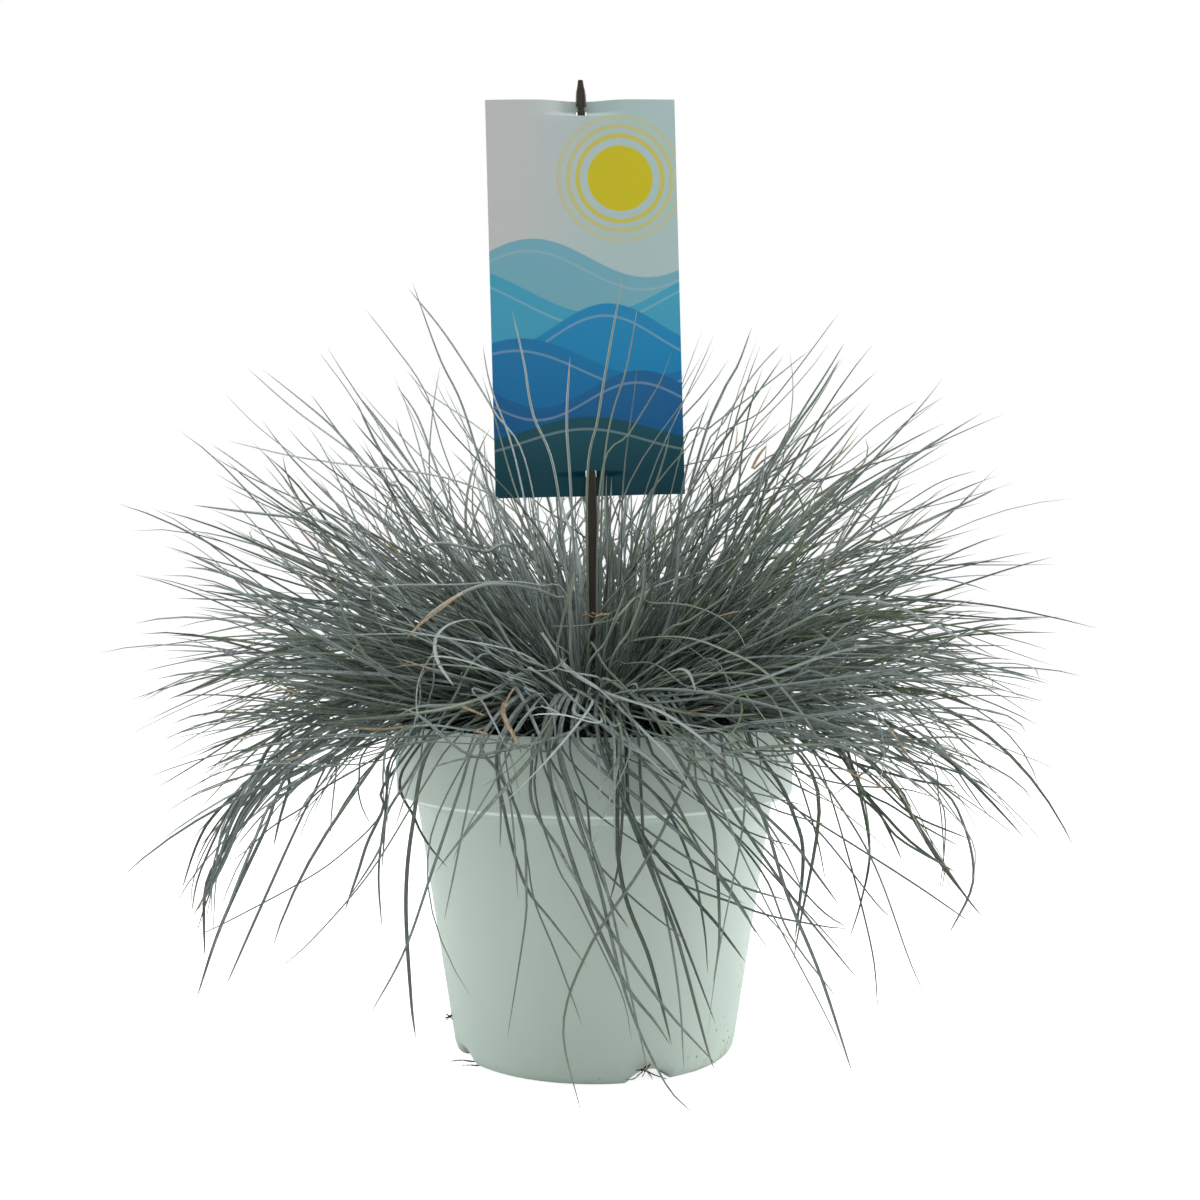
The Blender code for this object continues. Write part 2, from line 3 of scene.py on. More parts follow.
import bpy
import numpy as np
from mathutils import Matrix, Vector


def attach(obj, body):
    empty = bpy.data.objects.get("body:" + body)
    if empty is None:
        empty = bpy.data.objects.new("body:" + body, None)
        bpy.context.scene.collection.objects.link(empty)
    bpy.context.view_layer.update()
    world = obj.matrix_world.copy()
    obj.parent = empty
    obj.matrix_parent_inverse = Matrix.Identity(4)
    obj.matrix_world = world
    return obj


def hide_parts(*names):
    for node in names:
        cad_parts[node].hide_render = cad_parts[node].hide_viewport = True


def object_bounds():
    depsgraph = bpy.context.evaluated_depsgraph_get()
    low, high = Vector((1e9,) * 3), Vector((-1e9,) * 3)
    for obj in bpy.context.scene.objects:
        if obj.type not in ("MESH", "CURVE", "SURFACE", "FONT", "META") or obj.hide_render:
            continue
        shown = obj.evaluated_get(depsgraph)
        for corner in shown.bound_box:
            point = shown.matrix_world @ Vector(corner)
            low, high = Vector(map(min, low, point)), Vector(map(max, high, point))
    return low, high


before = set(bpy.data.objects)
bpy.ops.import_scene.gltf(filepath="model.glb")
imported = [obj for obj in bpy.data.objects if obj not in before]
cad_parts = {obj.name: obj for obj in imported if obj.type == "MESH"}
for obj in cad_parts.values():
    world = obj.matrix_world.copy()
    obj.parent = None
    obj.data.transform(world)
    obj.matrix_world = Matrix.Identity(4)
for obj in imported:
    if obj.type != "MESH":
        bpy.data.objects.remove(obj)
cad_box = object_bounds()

# ------------------------------------------------------------------------------------------------------------
# Grower's pot: one thin-walled injection moulding in pale mint polypropylene, with a stiff collar, a shoulder
# for the pot below to hang on, and four arched drain channels under its floor. It stands on its own foot.
# ------------------------------------------------------------------------------------------------------------

MM = 0.001
POT_HEIGHT = 140 * MM
RIM_RADIUS = 85 * MM
COLLAR_FOOT = 109.5 * MM
COLLAR_FOOT_RADIUS = 83.3 * MM
SHOULDER_FOOT = 106 * MM
SHOULDER_RADIUS = 75 * MM
FOOT_RADIUS = 58.8 * MM
FOOT_CORNER = 5.5 * MM
WALL = 1.3 * MM
POT_FLOOR = 1.6 * MM
POT_COLUMNS = 400
DRAIN_ANGLES = np.radians(-67 + 90 * np.arange(4))
DRAIN_WIDTH = 19.5 * MM
DRAIN_RISE = 5 * MM
DRAIN_START = 28 * MM
DRAIN_END_LENGTH = 2 * MM
DRAIN_FADE = 10 * MM
HUB_RADIUS = 0.4 * MM
STAIN_MIDDLE = -12 * MM
STAIN_REACH = 24 * MM
MINT_DEEP = (0.490, 0.595, 0.525)
MINT_PALE = (0.560, 0.665, 0.600)
# Painted highlight: the pale band along the collar's lower edge, where its lip catches the light.
PAINTED_COLLAR_HIGHLIGHT = (0.90, 1.0, 0.95)
WATER_STAIN = (0.36, 0.29, 0.17)
SOIL_SPECK = (0.075, 0.048, 0.03)


def smooth(x):
    """The S-shaped step from 0 to 1 while x goes from 0 to 1: three x squared less two x cubed."""
    x = np.clip(x, 0, 1)
    return x * x * (3 - 2 * x)


def rounded_line(corners, steps, reach):
    """A polyline whose inner corners are rounded.

    corners holds (r, z, radius) rows. Each corner gives way to a parabola that leaves its sides one radius
    from it, so the line is A(1-t)^2 + 2C t(1-t) + B t^2 there. Straight stretches get a point every reach.
    """
    places = np.array(corners, float)
    line = [places[:1, :2]]
    for before, corner, after in zip(places, places[1:], places[2:]):
        sides = [other[:2] - corner[:2] for other in (before, after)]
        a, b = (corner[:2] + side * min(corner[2] / np.hypot(*side), 0.49) for side in sides)
        t = np.linspace(0, 1, steps)[:, None]
        line.append(a * (1 - t) ** 2 + 2 * corner[:2] * t * (1 - t) + b * t**2)
    line.append(places[-1:, :2])
    line = np.concatenate(line)
    full = [line[:1]]
    for start, end in zip(line, line[1:]):
        count = max(int(np.hypot(*(end - start)) / reach), 1)
        full.append(start + (end - start) * np.linspace(0, 1, count + 1)[1:, None])
    return np.concatenate(full)


def skin(rings, first_ends, last_ends):
    """Points and faces of closed bars, from rings as an array (bars, rings, corners, 3).

    The corners turn right-handed along the bar. Quads join neighbouring rings, and a fan of triangles to the
    bar's end point closes each end.
    """
    bars, count, corners = rings.shape[:3]
    own = count * corners + 2
    sides = rings.reshape(bars, own - 2, 3)
    points = np.concatenate([sides, first_ends[:, None], last_ends[:, None]], axis=1)
    ring, corner = np.meshgrid(np.arange(count - 1), np.arange(corners), indexing="ij")
    here = (ring * corners + corner).ravel()
    right = (ring * corners + (corner + 1) % corners).ravel()
    quads = np.stack([here, right, right + corners, here + corners], axis=1)
    low = np.arange(corners)
    low_next = np.roll(low, -1)
    high, high_next = low + own - 2 - corners, low_next + own - 2 - corners
    first = np.stack([np.full(corners, own - 2), low_next, low], axis=1)
    last = np.stack([np.full(corners, own - 1), high, high_next], axis=1)
    start = (np.arange(bars) * own)[:, None, None]
    fans = np.concatenate([first, last])
    return points.reshape(-1, 3), [(quads + start).reshape(-1, 4), (fans + start).reshape(-1, 3)]


def put(name, data):
    """Puts a new object with the given data into the scene."""
    made = bpy.data.objects.new(name, data)
    bpy.context.scene.collection.objects.link(made)
    return made


def piece_from(name, points, face_sets, material, slot, *nodes):
    """Makes the mesh piece that wears the given material and stands in place of the named CAD nodes. The slot
    is not used.
    """
    mesh = bpy.data.meshes.new(name)
    corners = np.concatenate([faces.ravel() for faces in face_sets])
    sizes = np.concatenate([np.full(len(faces), faces.shape[1]) for faces in face_sets])
    mesh.vertices.add(len(points))
    mesh.vertices.foreach_set("co", np.ascontiguousarray(points, np.float32).ravel())
    mesh.loops.add(len(corners))
    mesh.loops.foreach_set("vertex_index", corners.astype(np.int32))
    mesh.polygons.add(len(sizes))
    mesh.polygons.foreach_set("loop_start", np.concatenate([[0], np.cumsum(sizes)[:-1]]).astype(np.int32))
    mesh.update(calc_edges=True)
    mesh.shade_smooth()
    mesh.materials.append(material)
    made = put(name, mesh)
    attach(made, "root")
    if nodes:
        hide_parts(*nodes)
    return made


def add_node(tree, kind, inputs=(), **settings):
    """Adds a shader node. inputs maps a socket's name or number to a value or to another node's output."""
    made = tree.nodes.new(kind)
    for name, value in settings.items():
        setattr(made, name, value)
    for name, value in dict(inputs).items():
        if isinstance(value, bpy.types.NodeSocket):
            tree.links.new(value, made.inputs[name])
        else:
            made.inputs[name].default_value = value
    return made


def maths(tree, operation, *values):
    """The result of a Math node."""
    return add_node(tree, "ShaderNodeMath", dict(enumerate(values)), operation=operation).outputs[0]


def product(tree, value, *others):
    """The product of node outputs and numbers."""
    for other in others:
        value = maths(tree, "MULTIPLY", value, other)
    return value


def ramp(tree, value, low, high, to_low=0.0, to_high=1.0):
    """A smooth step of value: to_low below low, to_high above high."""
    inputs = {"Value": value, "From Min": low, "From Max": high, "To Min": to_low, "To Max": to_high}
    made = add_node(tree, "ShaderNodeMapRange", inputs, interpolation_type="SMOOTHSTEP")
    return made.outputs[0]


def blend(tree, factor, first, second):
    """A colour that goes from first to second as factor goes from 0 to 1."""
    colours = [value if isinstance(value, bpy.types.NodeSocket) else (*value, 1) for value in (first, second)]
    inputs = {0: factor, 6: colours[0], 7: colours[1]}
    return add_node(tree, "ShaderNodeMix", inputs, data_type="RGBA").outputs[2]


def noise(tree, place, scale, detail=3.0, rough=0.5):
    """Cloudy noise between 0 and 1, with about scale lumps to the metre."""
    inputs = {"Vector": place, "Scale": scale, "Detail": detail, "Roughness": rough}
    return add_node(tree, "ShaderNodeTexNoise", inputs).outputs["Fac"]


def stretched(tree, place, scale):
    """The coordinates scaled by a factor along each axis."""
    return add_node(tree, "ShaderNodeMapping", {"Vector": place, "Scale": scale}).outputs[0]


def new_material(name):
    """A material with its node tree and its Principled shader."""
    made = bpy.data.materials.new(name)
    made.use_nodes = True
    return made, made.node_tree, made.node_tree.nodes["Principled BSDF"]


def object_place(tree):
    """The place on the piece, in metres."""
    return add_node(tree, "ShaderNodeTexCoord").outputs["Object"]


def coat(tree, shader, colour, roughness):
    """Feeds the shader's colour and roughness."""
    tree.links.new(colour, shader.inputs["Base Color"])
    tree.links.new(roughness, shader.inputs["Roughness"])


def bump(tree, shader, height, distance, strength=1.0):
    """Feeds the shader's normal from a height between 0 and 1 that stands for the given distance."""
    inputs = {"Height": height, "Distance": distance, "Strength": strength}
    tree.links.new(add_node(tree, "ShaderNodeBump", inputs).outputs[0], shader.inputs["Normal"])


def pot_rings():
    """Rings of the pot's skin along its section: underside, wall, collar, rim, and back down the inside.

    Under the floor a channel lifts each point to the height of an arc of a circle across the channel. On the
    wall the lift dies away over DRAIN_FADE, so the wall's foot follows the arch: z + lift (1 - z / fade).
    """
    section = rounded_line(
        (
            (HUB_RADIUS, 0, 0),
            (FOOT_RADIUS - 0.6 * MM, 0, FOOT_CORNER),
            (SHOULDER_RADIUS, SHOULDER_FOOT, 1.2 * MM),
            (COLLAR_FOOT_RADIUS + 0.1 * MM, COLLAR_FOOT, 0.4 * MM),
            (COLLAR_FOOT_RADIUS, COLLAR_FOOT + 0.9 * MM, 0.3 * MM),
            (RIM_RADIUS, POT_HEIGHT, 0.6 * MM),
            (RIM_RADIUS - WALL, POT_HEIGHT, 0.5 * MM),
            (COLLAR_FOOT_RADIUS - WALL, COLLAR_FOOT + WALL, 1 * MM),
            (SHOULDER_RADIUS - WALL, SHOULDER_FOOT + WALL, 1 * MM),
            (FOOT_RADIUS - WALL, POT_FLOOR, FOOT_CORNER),
            (HUB_RADIUS, POT_FLOOR, 0),
        ),
        steps=6,
        reach=2 * MM,
    )
    turn = np.linspace(0, 2 * math.pi, POT_COLUMNS, endpoint=False)
    radius, height = section.T[:, :, None]
    x, y, z = np.broadcast_arrays(radius * np.cos(turn), radius * np.sin(turn), height)
    arc = (DRAIN_WIDTH**2 / 4 + DRAIN_RISE**2) / (2 * DRAIN_RISE)
    lift = np.zeros(x.shape)
    for angle in DRAIN_ANGLES:
        along = x * math.cos(angle) + y * math.sin(angle)
        across = y * math.cos(angle) - x * math.sin(angle)
        arch = np.sqrt(np.maximum(arc**2 - across**2, 0)) - (arc - DRAIN_RISE)
        lift = np.maximum(lift, np.maximum(arch, 0) * smooth((along - DRAIN_START) / DRAIN_END_LENGTH))
    lift *= np.clip(1 - z / DRAIN_FADE, 0, 1)
    return np.stack([x, y, z + lift], axis=-1)


def mint_plastic():
    """Pale mint plastic with faint flow marks and a satin grain, lighter along the collar's foot.

    A tan water stain and soil specks lie round the foot of the pot. The lighter band along the collar's foot
    is a painted highlight.
    """
    made, tree, shader = new_material("mint_plastic")
    place = object_place(tree)
    height = add_node(tree, "ShaderNodeSeparateXYZ", {0: place}).outputs["Z"]
    side = add_node(tree, "ShaderNodeSeparateXYZ", {0: place}).outputs["X"]
    flow = noise(tree, stretched(tree, place, (1, 1, 0.25)), 38, 4)
    colour = blend(tree, flow, MINT_DEEP, MINT_PALE)

    cloud = noise(tree, stretched(tree, place, (1, 1, 0.8)), 95, 5, 0.65)
    stain = product(tree, ramp(tree, height, 1 * MM, 16 * MM, 1, 0), ramp(tree, cloud, 0.50, 0.66))
    off_middle = maths(tree, "ABSOLUTE", maths(tree, "SUBTRACT", side, STAIN_MIDDLE))
    beside = maths(tree, "SUBTRACT", off_middle, STAIN_REACH)
    stain = product(tree, stain, ramp(tree, beside, 0, 14 * MM, 0.05, 1))
    colour = blend(tree, product(tree, stain, 0.75), colour, WATER_STAIN)

    # Painted highlight: a narrow pale band at the collar's foot, where its lip catches the light.
    below = ramp(tree, height, COLLAR_FOOT - 1.2 * MM, COLLAR_FOOT - 0.2 * MM)
    above = ramp(tree, height, COLLAR_FOOT + 0.3 * MM, COLLAR_FOOT + 1.0 * MM, 0.8, 0)
    colour = blend(tree, product(tree, below, above), colour, PAINTED_COLLAR_HIGHLIGHT)

    cells = add_node(tree, "ShaderNodeTexVoronoi", {"Vector": place, "Scale": 260.0})
    dots = ramp(tree, cells.outputs["Distance"], 0.10, 0.20, 1, 0)
    patches = ramp(tree, noise(tree, place, 55, 2), 0.56, 0.63)
    at_right = product(tree, ramp(tree, height, 20 * MM, 55 * MM, 1, 0), ramp(tree, side, 20 * MM, 60 * MM))
    near_foot = maths(tree, "MAXIMUM", at_right, ramp(tree, height, 3 * MM, 9 * MM, 0.5, 0))
    specks = product(tree, dots, patches, near_foot)
    colour = blend(tree, specks, colour, SOIL_SPECK)

    grain = noise(tree, place, 1400, 2)
    worn = noise(tree, place, 70, 4, 0.6)
    dirt = product(tree, maths(tree, "ADD", stain, specks), 0.3)
    coat(tree, shader, colour, maths(tree, "ADD", ramp(tree, worn, 0.3, 0.7, 0.34, 0.50), dirt))
    relief = maths(tree, "ADD", product(tree, grain, 0.25), product(tree, flow, 0.75))
    bump(tree, shader, maths(tree, "ADD", relief, specks), 0.12 * MM, 0.5)
    return made


rings = pot_rings()
ends = [np.array([[0, 0, z]]) for z in (0, POT_FLOOR)]
piece_from("pot_shell", *skin(rings[None], *ends), mint_plastic(), "pot_plastic", "pot")

# ------------------------------------------------------------------------------------------------------------
# Potting soil: dark, fibrous peat that fills the pot to a finger's breadth under the rim and holds the roots.
# The root ball is the CAD solid. Loose crumbs of peat and bark lie on it.
# ------------------------------------------------------------------------------------------------------------

SOIL_TOP = 133.5 * MM
SOIL_RADIUS = 79 * MM
CRUMB_COUNT = 1500
CRUMB_ROWS = 4
CRUMB_SIDES = 6
CRUMB_LEAST = 0.5 * MM
CRUMB_MOST = 2.4 * MM
CRUMB_UNEVEN = 0.33
CRUMB_RAISE = 0.25
CRUMB_FLATTEST = 0.6
CRUMB_SQUASH_RANGE = 0.8
PEAT_DEEP = (0.012, 0.009, 0.007)
PEAT_PALE = (0.060, 0.038, 0.026)
PEAT_FIBRE = (0.15, 0.085, 0.048)

# The photograph is 1200 pixels wide. PHOTO_SCALE is its pixels across for each metre at one metre's distance,
# and PHOTO_MIDDLE is the pixel that lies straight in front of the camera.
CAMERA_PLACE = (2.3 * MM, -764 * MM, 212.7 * MM)
PHOTO_SIZE = 1200
PHOTO_SCALE = 1800
PHOTO_MIDDLE = (600, 545)

# Each root's depth (y) in millimetres, and the pixels of the photograph that it passes through.
SEEN_ROOTS = (
    (-57, ((646, 1066), (640, 1074), (633, 1079), (626, 1080))),
    (-60, ((641, 1069), (649, 1072), (657, 1076), (667, 1079))),
    (-59, ((636, 1070), (643, 1070), (650, 1074), (652, 1080))),
    (-58, ((650, 1064), (645, 1071), (642, 1077))),
    (-24, ((479, 1062), (470, 1063), (462, 1060), (453, 1061), (448, 1064))),
    (-30, ((482, 1067), (474, 1066), (469, 1065), (462, 1068))),
    (-12, ((446, 1014), (450, 1017), (453, 1020))),
    (-13, ((453, 1014), (449, 1017), (447, 1021))),
    (-11, ((445, 1018), (450, 1017), (454, 1016))),
)
ROOT_RADIUS = 0.32 * MM
ROOT_UNEVEN = 0.35
ROOT_TAPER = 0.67
ROOT_ACROSS = (0.31, 0.17, 0.93)
ROOT_RINGS = 14
ROOT_SIDES = 6
ROOT_WOBBLE = 0.12 * MM
ROOT_DEEP = (0.018, 0.013, 0.011)
ROOT_WORN = (0.11, 0.08, 0.055)


def soil_material():
    """Damp peat: near black with brown fibres and paler crumbs, matt and rough."""
    made, tree, shader = new_material("damp_peat")
    place = object_place(tree)
    lumps = noise(tree, place, 420, 6, 0.7)
    fibres = noise(tree, stretched(tree, place, (1, 0.2, 1)), 900, 4, 0.7)
    colour = blend(tree, ramp(tree, lumps, 0.35, 0.72), PEAT_DEEP, PEAT_PALE)
    colour = blend(tree, ramp(tree, fibres, 0.60, 0.72, 0, 0.6), colour, PEAT_FIBRE)
    coat(tree, shader, colour, ramp(tree, lumps, 0.3, 0.7, 0.95, 0.78))
    bump(tree, shader, maths(tree, "ADD", lumps, product(tree, fibres, 0.4)), 1.6 * MM)
    return made


def crumb_rings(chance):
    """Rings of small lumps: squashed balls whose radius is disturbed at each corner.

    A ring at height cos(t) has radius sin(t), both times the lump's size, and each corner is pushed in or out
    by up to a third. The lumps lie with their middle a little above the soil's surface.
    """
    size = CRUMB_LEAST + (CRUMB_MOST - CRUMB_LEAST) * chance.random(CRUMB_COUNT) ** 3
    far = SOIL_RADIUS * np.sqrt(chance.random(CRUMB_COUNT))
    turn = 2 * math.pi * chance.random(CRUMB_COUNT)
    centre = np.stack([far * np.cos(turn), far * np.sin(turn), SOIL_TOP + CRUMB_RAISE * size], axis=1)
    fall = math.pi * (1 - (np.arange(CRUMB_ROWS) + 0.6) / (CRUMB_ROWS + 0.2))
    around = 2 * math.pi * np.arange(CRUMB_SIDES) / CRUMB_SIDES
    radius, level = np.sin(fall)[:, None], np.cos(fall)[:, None]
    ball = np.stack(np.broadcast_arrays(radius * np.cos(around), radius * np.sin(around), level), axis=-1)
    uneven = 1 + CRUMB_UNEVEN * (2 * chance.random((CRUMB_COUNT, CRUMB_ROWS, CRUMB_SIDES, 1)) - 1)
    squash = CRUMB_FLATTEST + CRUMB_SQUASH_RANGE * chance.random((CRUMB_COUNT, 1, 1, 3))
    rings = ball * uneven * squash * size[:, None, None, None] + centre[:, None, None]
    ends = [centre + size[:, None] * squash[:, 0, 0] * (0, 0, way) for way in (-1, 1)]
    return rings, *ends


def through(points, count):
    """count places spread evenly along the smooth curve through a few points.

    Each stretch is the cubic whose slope at a point is half the step between that point's two neighbours.
    """
    points = np.concatenate([2 * points[:1] - points[1:2], points, 2 * points[-1:] - points[-2:-1]])
    t = np.linspace(0, 1, 17)[:-1, None]
    curve = [
        b + t * (c - a) / 2 + t**2 * (a - 2.5 * b + 2 * c - d / 2) + t**3 * (1.5 * (b - c) + (d - a) / 2)
        for a, b, c, d in zip(points, points[1:], points[2:], points[3:])
    ]
    curve = np.concatenate([*curve, points[-2:-1]])
    reach = np.concatenate([[0], np.cumsum(np.linalg.norm(np.diff(curve, axis=0), axis=1))])
    even = np.linspace(0, reach[-1], count)
    return np.stack([np.interp(even, reach, axis) for axis in curve.T], axis=1)


def seen_places(depths, pixels, nearer=0):
    """The places in space that the camera sees at pixels of the photograph.

    Their depth y goes evenly between the two depths, in millimetres, less the metres that they lie nearer.
    """
    across, down = np.array(pixels, float).T
    depth = np.linspace(*depths, len(pixels)) * MM - nearer
    away = (depth - CAMERA_PLACE[1]) / PHOTO_SCALE
    x = CAMERA_PLACE[0] + (across - PHOTO_MIDDLE[0]) * away
    return np.stack([x, depth, CAMERA_PLACE[2] - (down - PHOTO_MIDDLE[1]) * away], axis=1)


def unit(vectors):
    """The vectors, each at length one."""
    return vectors / np.linalg.norm(vectors, axis=-1, keepdims=True)


def root_rings(lines, chance):
    """Rings of roots: corners evenly round each point, at a radius that tapers to a third towards the tip.

    The corners turn between two directions square to the root, found from ROOT_ACROSS, which no root follows.
    Each ring is wider or narrower by chance, by up to ROOT_UNEVEN of its radius.
    """
    roots, count = lines.shape[:2]
    tangent = unit(np.gradient(lines, axis=1))
    side = unit(np.cross(tangent, np.array(ROOT_ACROSS)))
    other = np.cross(tangent, side)
    turn = 2 * math.pi * np.arange(ROOT_SIDES) / ROOT_SIDES
    around = np.cos(turn)[:, None] * side[:, :, None] + np.sin(turn)[:, None] * other[:, :, None]
    size = ROOT_RADIUS * (1 - ROOT_TAPER * np.linspace(0, 1, count) ** 2)[:, None, None]
    size = size * (1 + ROOT_UNEVEN * (2 * chance.random((roots, count, 1, 1)) - 1))
    return lines[:, :, None] + around * size


def root_material():
    """Dead root: dark brown bark with paler worn spots."""
    made, tree, shader = new_material("dry_root")
    worn = noise(tree, object_place(tree), 900, 3, 0.6)
    colour = blend(tree, ramp(tree, worn, 0.5, 0.7), ROOT_DEEP, ROOT_WORN)
    coat(tree, shader, colour, ramp(tree, worn, 0.3, 0.7, 0.9, 0.7))
    bump(tree, shader, worn, 0.1 * MM)
    return made


def make_roots(chance):
    """Thin dark roots that hang out of the drain channels and cling to the wall's foot."""
    lines = []
    for depth, pixels in SEEN_ROOTS:
        line = seen_places((depth, depth), pixels)
        line[:, 2] = np.maximum(line[:, 2], ROOT_RADIUS * 1.6)
        lines.append(through(line, ROOT_RINGS))
    lines = np.array(lines)
    lines[:, 1:-1] += chance.normal(0, ROOT_WOBBLE, lines[:, 1:-1].shape) * (1, 1, 0)
    surface = skin(root_rings(lines, chance), lines[:, 0], lines[:, -1])
    return piece_from("root_threads", *surface, root_material(), "soil")


make_roots(np.random.default_rng(5))
peat = soil_material()
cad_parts["potting_soil"].data.materials[0] = peat
for material_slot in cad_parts["potting_soil"].material_slots:
    material_slot.material = peat
piece_from("soil_crumbs", *skin(*crumb_rings(np.random.default_rng(11))), peat, "soil")

# ------------------------------------------------------------------------------------------------------------
# Grass: the crown is a tight clump of shoots. Every shoot carries long, folded, waxy leaves, hardly a
# millimetre wide. They are upright in the middle and ever flatter outwards, and the outer ones trail over
# the rim.
# ------------------------------------------------------------------------------------------------------------

LEAF_SEED = 23
BAKE_MAP = "OFBake"

# The crown: tufts on a spiral, the shoots of each tuft, and the leaves of each shoot.
TUFT_COUNT = 44
CROWN_INNER = 6.5 * MM
CROWN_OUTER = 38 * MM
GOLDEN_ANGLE = math.pi * (3 - math.sqrt(5))
TUFT_SPREAD = 7.5 * MM
SHOOTS_PER_TUFT = 10
SPARE_SHOOTS = 12
SHOOTS = SHOOTS_PER_TUFT + SPARE_SHOOTS
LEAVES_PER_SHOOT = 6
SHOOT_RADIUS = 0.9 * MM
SHOOT_SPREAD = 0.06

# A leaf's section, as shares of its half width, and its mesh.
LEAF_HALF_WIDTH = 0.65 * MM
LEAF_THINNEST = 0.05 * MM
MARGIN_RISE = 0.35
FOLD_DEPTH = 0.05
KEEL_DEPTH = 0.5
LEAF_TAPER = 5
SEEN_TAPER = 10
TAPER_POWER = 0.6
FOOT_WIDTH = 0.8
FOOT_WIDTH_LOSS = 0.2
FOOT_SHARE = 0.15
FOOT_POINT = 0.3 * MM
FOOT_DEPTH = 1 * MM
TWIST_SPREAD = 0.5
TWIST_GAIN = 1.0
LEAF_RINGS = 16
FINE_STEPS = 3
SEEN_RINGS = 40

# How leaves stand: their slope from upright (launch and droop) and length, by how far out they grow.
LAUNCH_LEAST = math.radians(3)
LAUNCH_MOST = math.radians(76)
LAUNCH_POWER = 0.59
LAUNCH_OUTMOST = 1.05
LAUNCH_SPREAD = 0.26
LEAF_OPENING = 30 * MM
SHEATH_TILT_SHARE = 0.35
OUTWARD_SHARES = (0, 0.3, 0.45, 0.65, 0.88, 1.0, 1.12)
LENGTHS = np.array((185, 165, 182, 204, 177, 176, 191)) * MM
LONGEST = 1.04
LENGTH_LOSS = 0.575
OUTER_LENGTH_LOSS = 0.10
LENGTH_LOSS_POWER = 1.24
DROOPS = np.radians((8, 8, 8, 31, 34, 43, 59))
DROOP_SPREAD = 0.27
DROOP_LENGTH_POWER = 2.1
DROOP_POWER = 1.08
STEEPEST = math.radians(172)
BEND_SPREAD = 0.20
CURL_SPREAD = 0.83
CURLED_SHARE = 0.10
CURLED_TIMES = 3
CURL_POWER = 1.5

# Which way they head: outwards, but loosely in the middle, combed to the right in front, and parted.
HEADING_SPREAD = 0.69
STRAY_SHARE = 0.10
STRAY_SPREAD = 0.79
LOOSE_TO = 1.1
LOOSE_LEAST = 0.12
LOOSE_SPREAD = 0.9
LOOSE_SHOOTS = 1.5
COMB_FROM = math.radians(-85)
COMB_TO = math.radians(-58)
COMB_WIDTH = math.radians(55)
COMB_SHARE = 0.20
PARTING = math.radians(-122)
PARTING_PUSH = 0.54
PARTING_SHARP = 0.15
PARTING_WIDTH = 0.6

# What they keep clear of: the soil and rim, the floor, the stake and the card.
RIM_LIFT_START = 66 * MM
RIM_LIFT_FULL = 82 * MM
RIM_CLEAR = 87 * MM
SOIL_CLEARANCE = 0.6 * MM
RIM_CLEARANCE = 0.4 * MM
MOST_LIFT = 9 * MM
LOWEST_LEAF = 4 * MM
FOOT_POINTS = 4
BOX_MARGIN = 6 * MM
STAKE_FOOT_X = 5 * MM
STAKE_LEAN = math.radians(1.54)
STAKE_CLEARANCE = 2.9 * MM
CARD_BOTTOM = 233.4 * MM
CARD_WIDTH = 80.6 * MM
CARD_YAW = math.radians(6)
CARD_CLEARANCE = 3.4 * MM

# The front of the crown and the gap at the stake, where no leaf of the crown stands in the way.
FRONT_START = -43 * MM
FRONT_HALF = 52 * MM
FRONT_HEIGHT = 147 * MM
FRONT_SPREAD = 34 * MM
MOST_RETURN = 9 * MM
PARTED_LOW = 188 * MM
PARTED_HALF = 3.2 * MM

# Long waves that neighbouring leaves share: how far they reach, their direction and rate, and their phase.
SWAY_START = 50 * MM
SWAY_FULL = 160 * MM
SWAYS = (
    ((4 * MM, 0, 0), (0, 24, 13), 0.6),
    ((3 * MM, 0, 0), (0, 0, 41), 2.0),
    ((0, 4 * MM, 0), (23, 0, -15), 1.9),
    ((0, 0, 4 * MM), (21, 18, 0), 0.4),
)

# Chances and shares for each leaf's width and look. WIDTHS, SEEN_WIDTHS, SEEN_TONES and OLIVES are a least
# value and a range above it. Tones are drawn from a beta distribution with the two powers in TONE_SHAPE.
BROAD_SHARE = 0.06
BROAD_TIMES = 1.5
WIDTHS = (0.65, 0.6)
SEEN_WIDTHS = (0.8, 0.4)
HANGING_WIDER = 1.04
SEEN_WIDER = 0.88
CROWN_WIDER = 1.05
MAP_GAP = 0.04
KEEL_SHOWN = (0.3, 0, 0.3, 1)
KEEL_AT_ENDS = 0.5
# Painted shade: the next two set how far down a leaf must point, and how much more of the dark keel colour it
# then takes, for the shaded underside that a hanging leaf shows.
HANG_SHADE_START = 0.1
HANG_SHADE_SHARE = 0.6
TONE_SHAPE = (1.1, 1.2)
# Painted shade: hanging single leaves are darkened to this share of their tone, for their shaded undersides.
HANGING_SHADE_TONE = 0.45
SEEN_TONES = (0.8, 0.2)
DRY_SHARE = 0.12
DRY_MOST = 0.22
DEAD_SHARE = 0.0015
DEAD = 1.1
OLIVE_SHARE = 0.14
OLIVES = (0.4, 0.6)
WAX = (0.50, 0.57, 0.56)
OLIVE_DEEP = (0.10, 0.13, 0.045)
OLIVE_PALE = (0.22, 0.26, 0.13)
# The keel's own unwaxed green, which also paints shade on hanging leaves.
KEEL_AND_SHADE_GREEN = (0.085, 0.115, 0.095)
FOOT_YELLOW = (0.20, 0.23, 0.12)
TIP_TAN = (0.40, 0.33, 0.20)
DEAD_DEEP = (0.28, 0.19, 0.11)
DEAD_PALE = (0.60, 0.46, 0.30)
LEAF_FINISHES = (
    ("leaf_blue_grey", "blue_grey_leaf", (0.10, 0.138, 0.126), (0.36, 0.44, 0.42), 0.5),
    ("leaf_silver", "silver_leaf", (0.145, 0.187, 0.175), (0.48, 0.55, 0.53), 0.7),
    ("leaf_green_grey", "green_grey_leaf", (0.07, 0.10, 0.062), (0.31, 0.38, 0.29), 0.3),
)
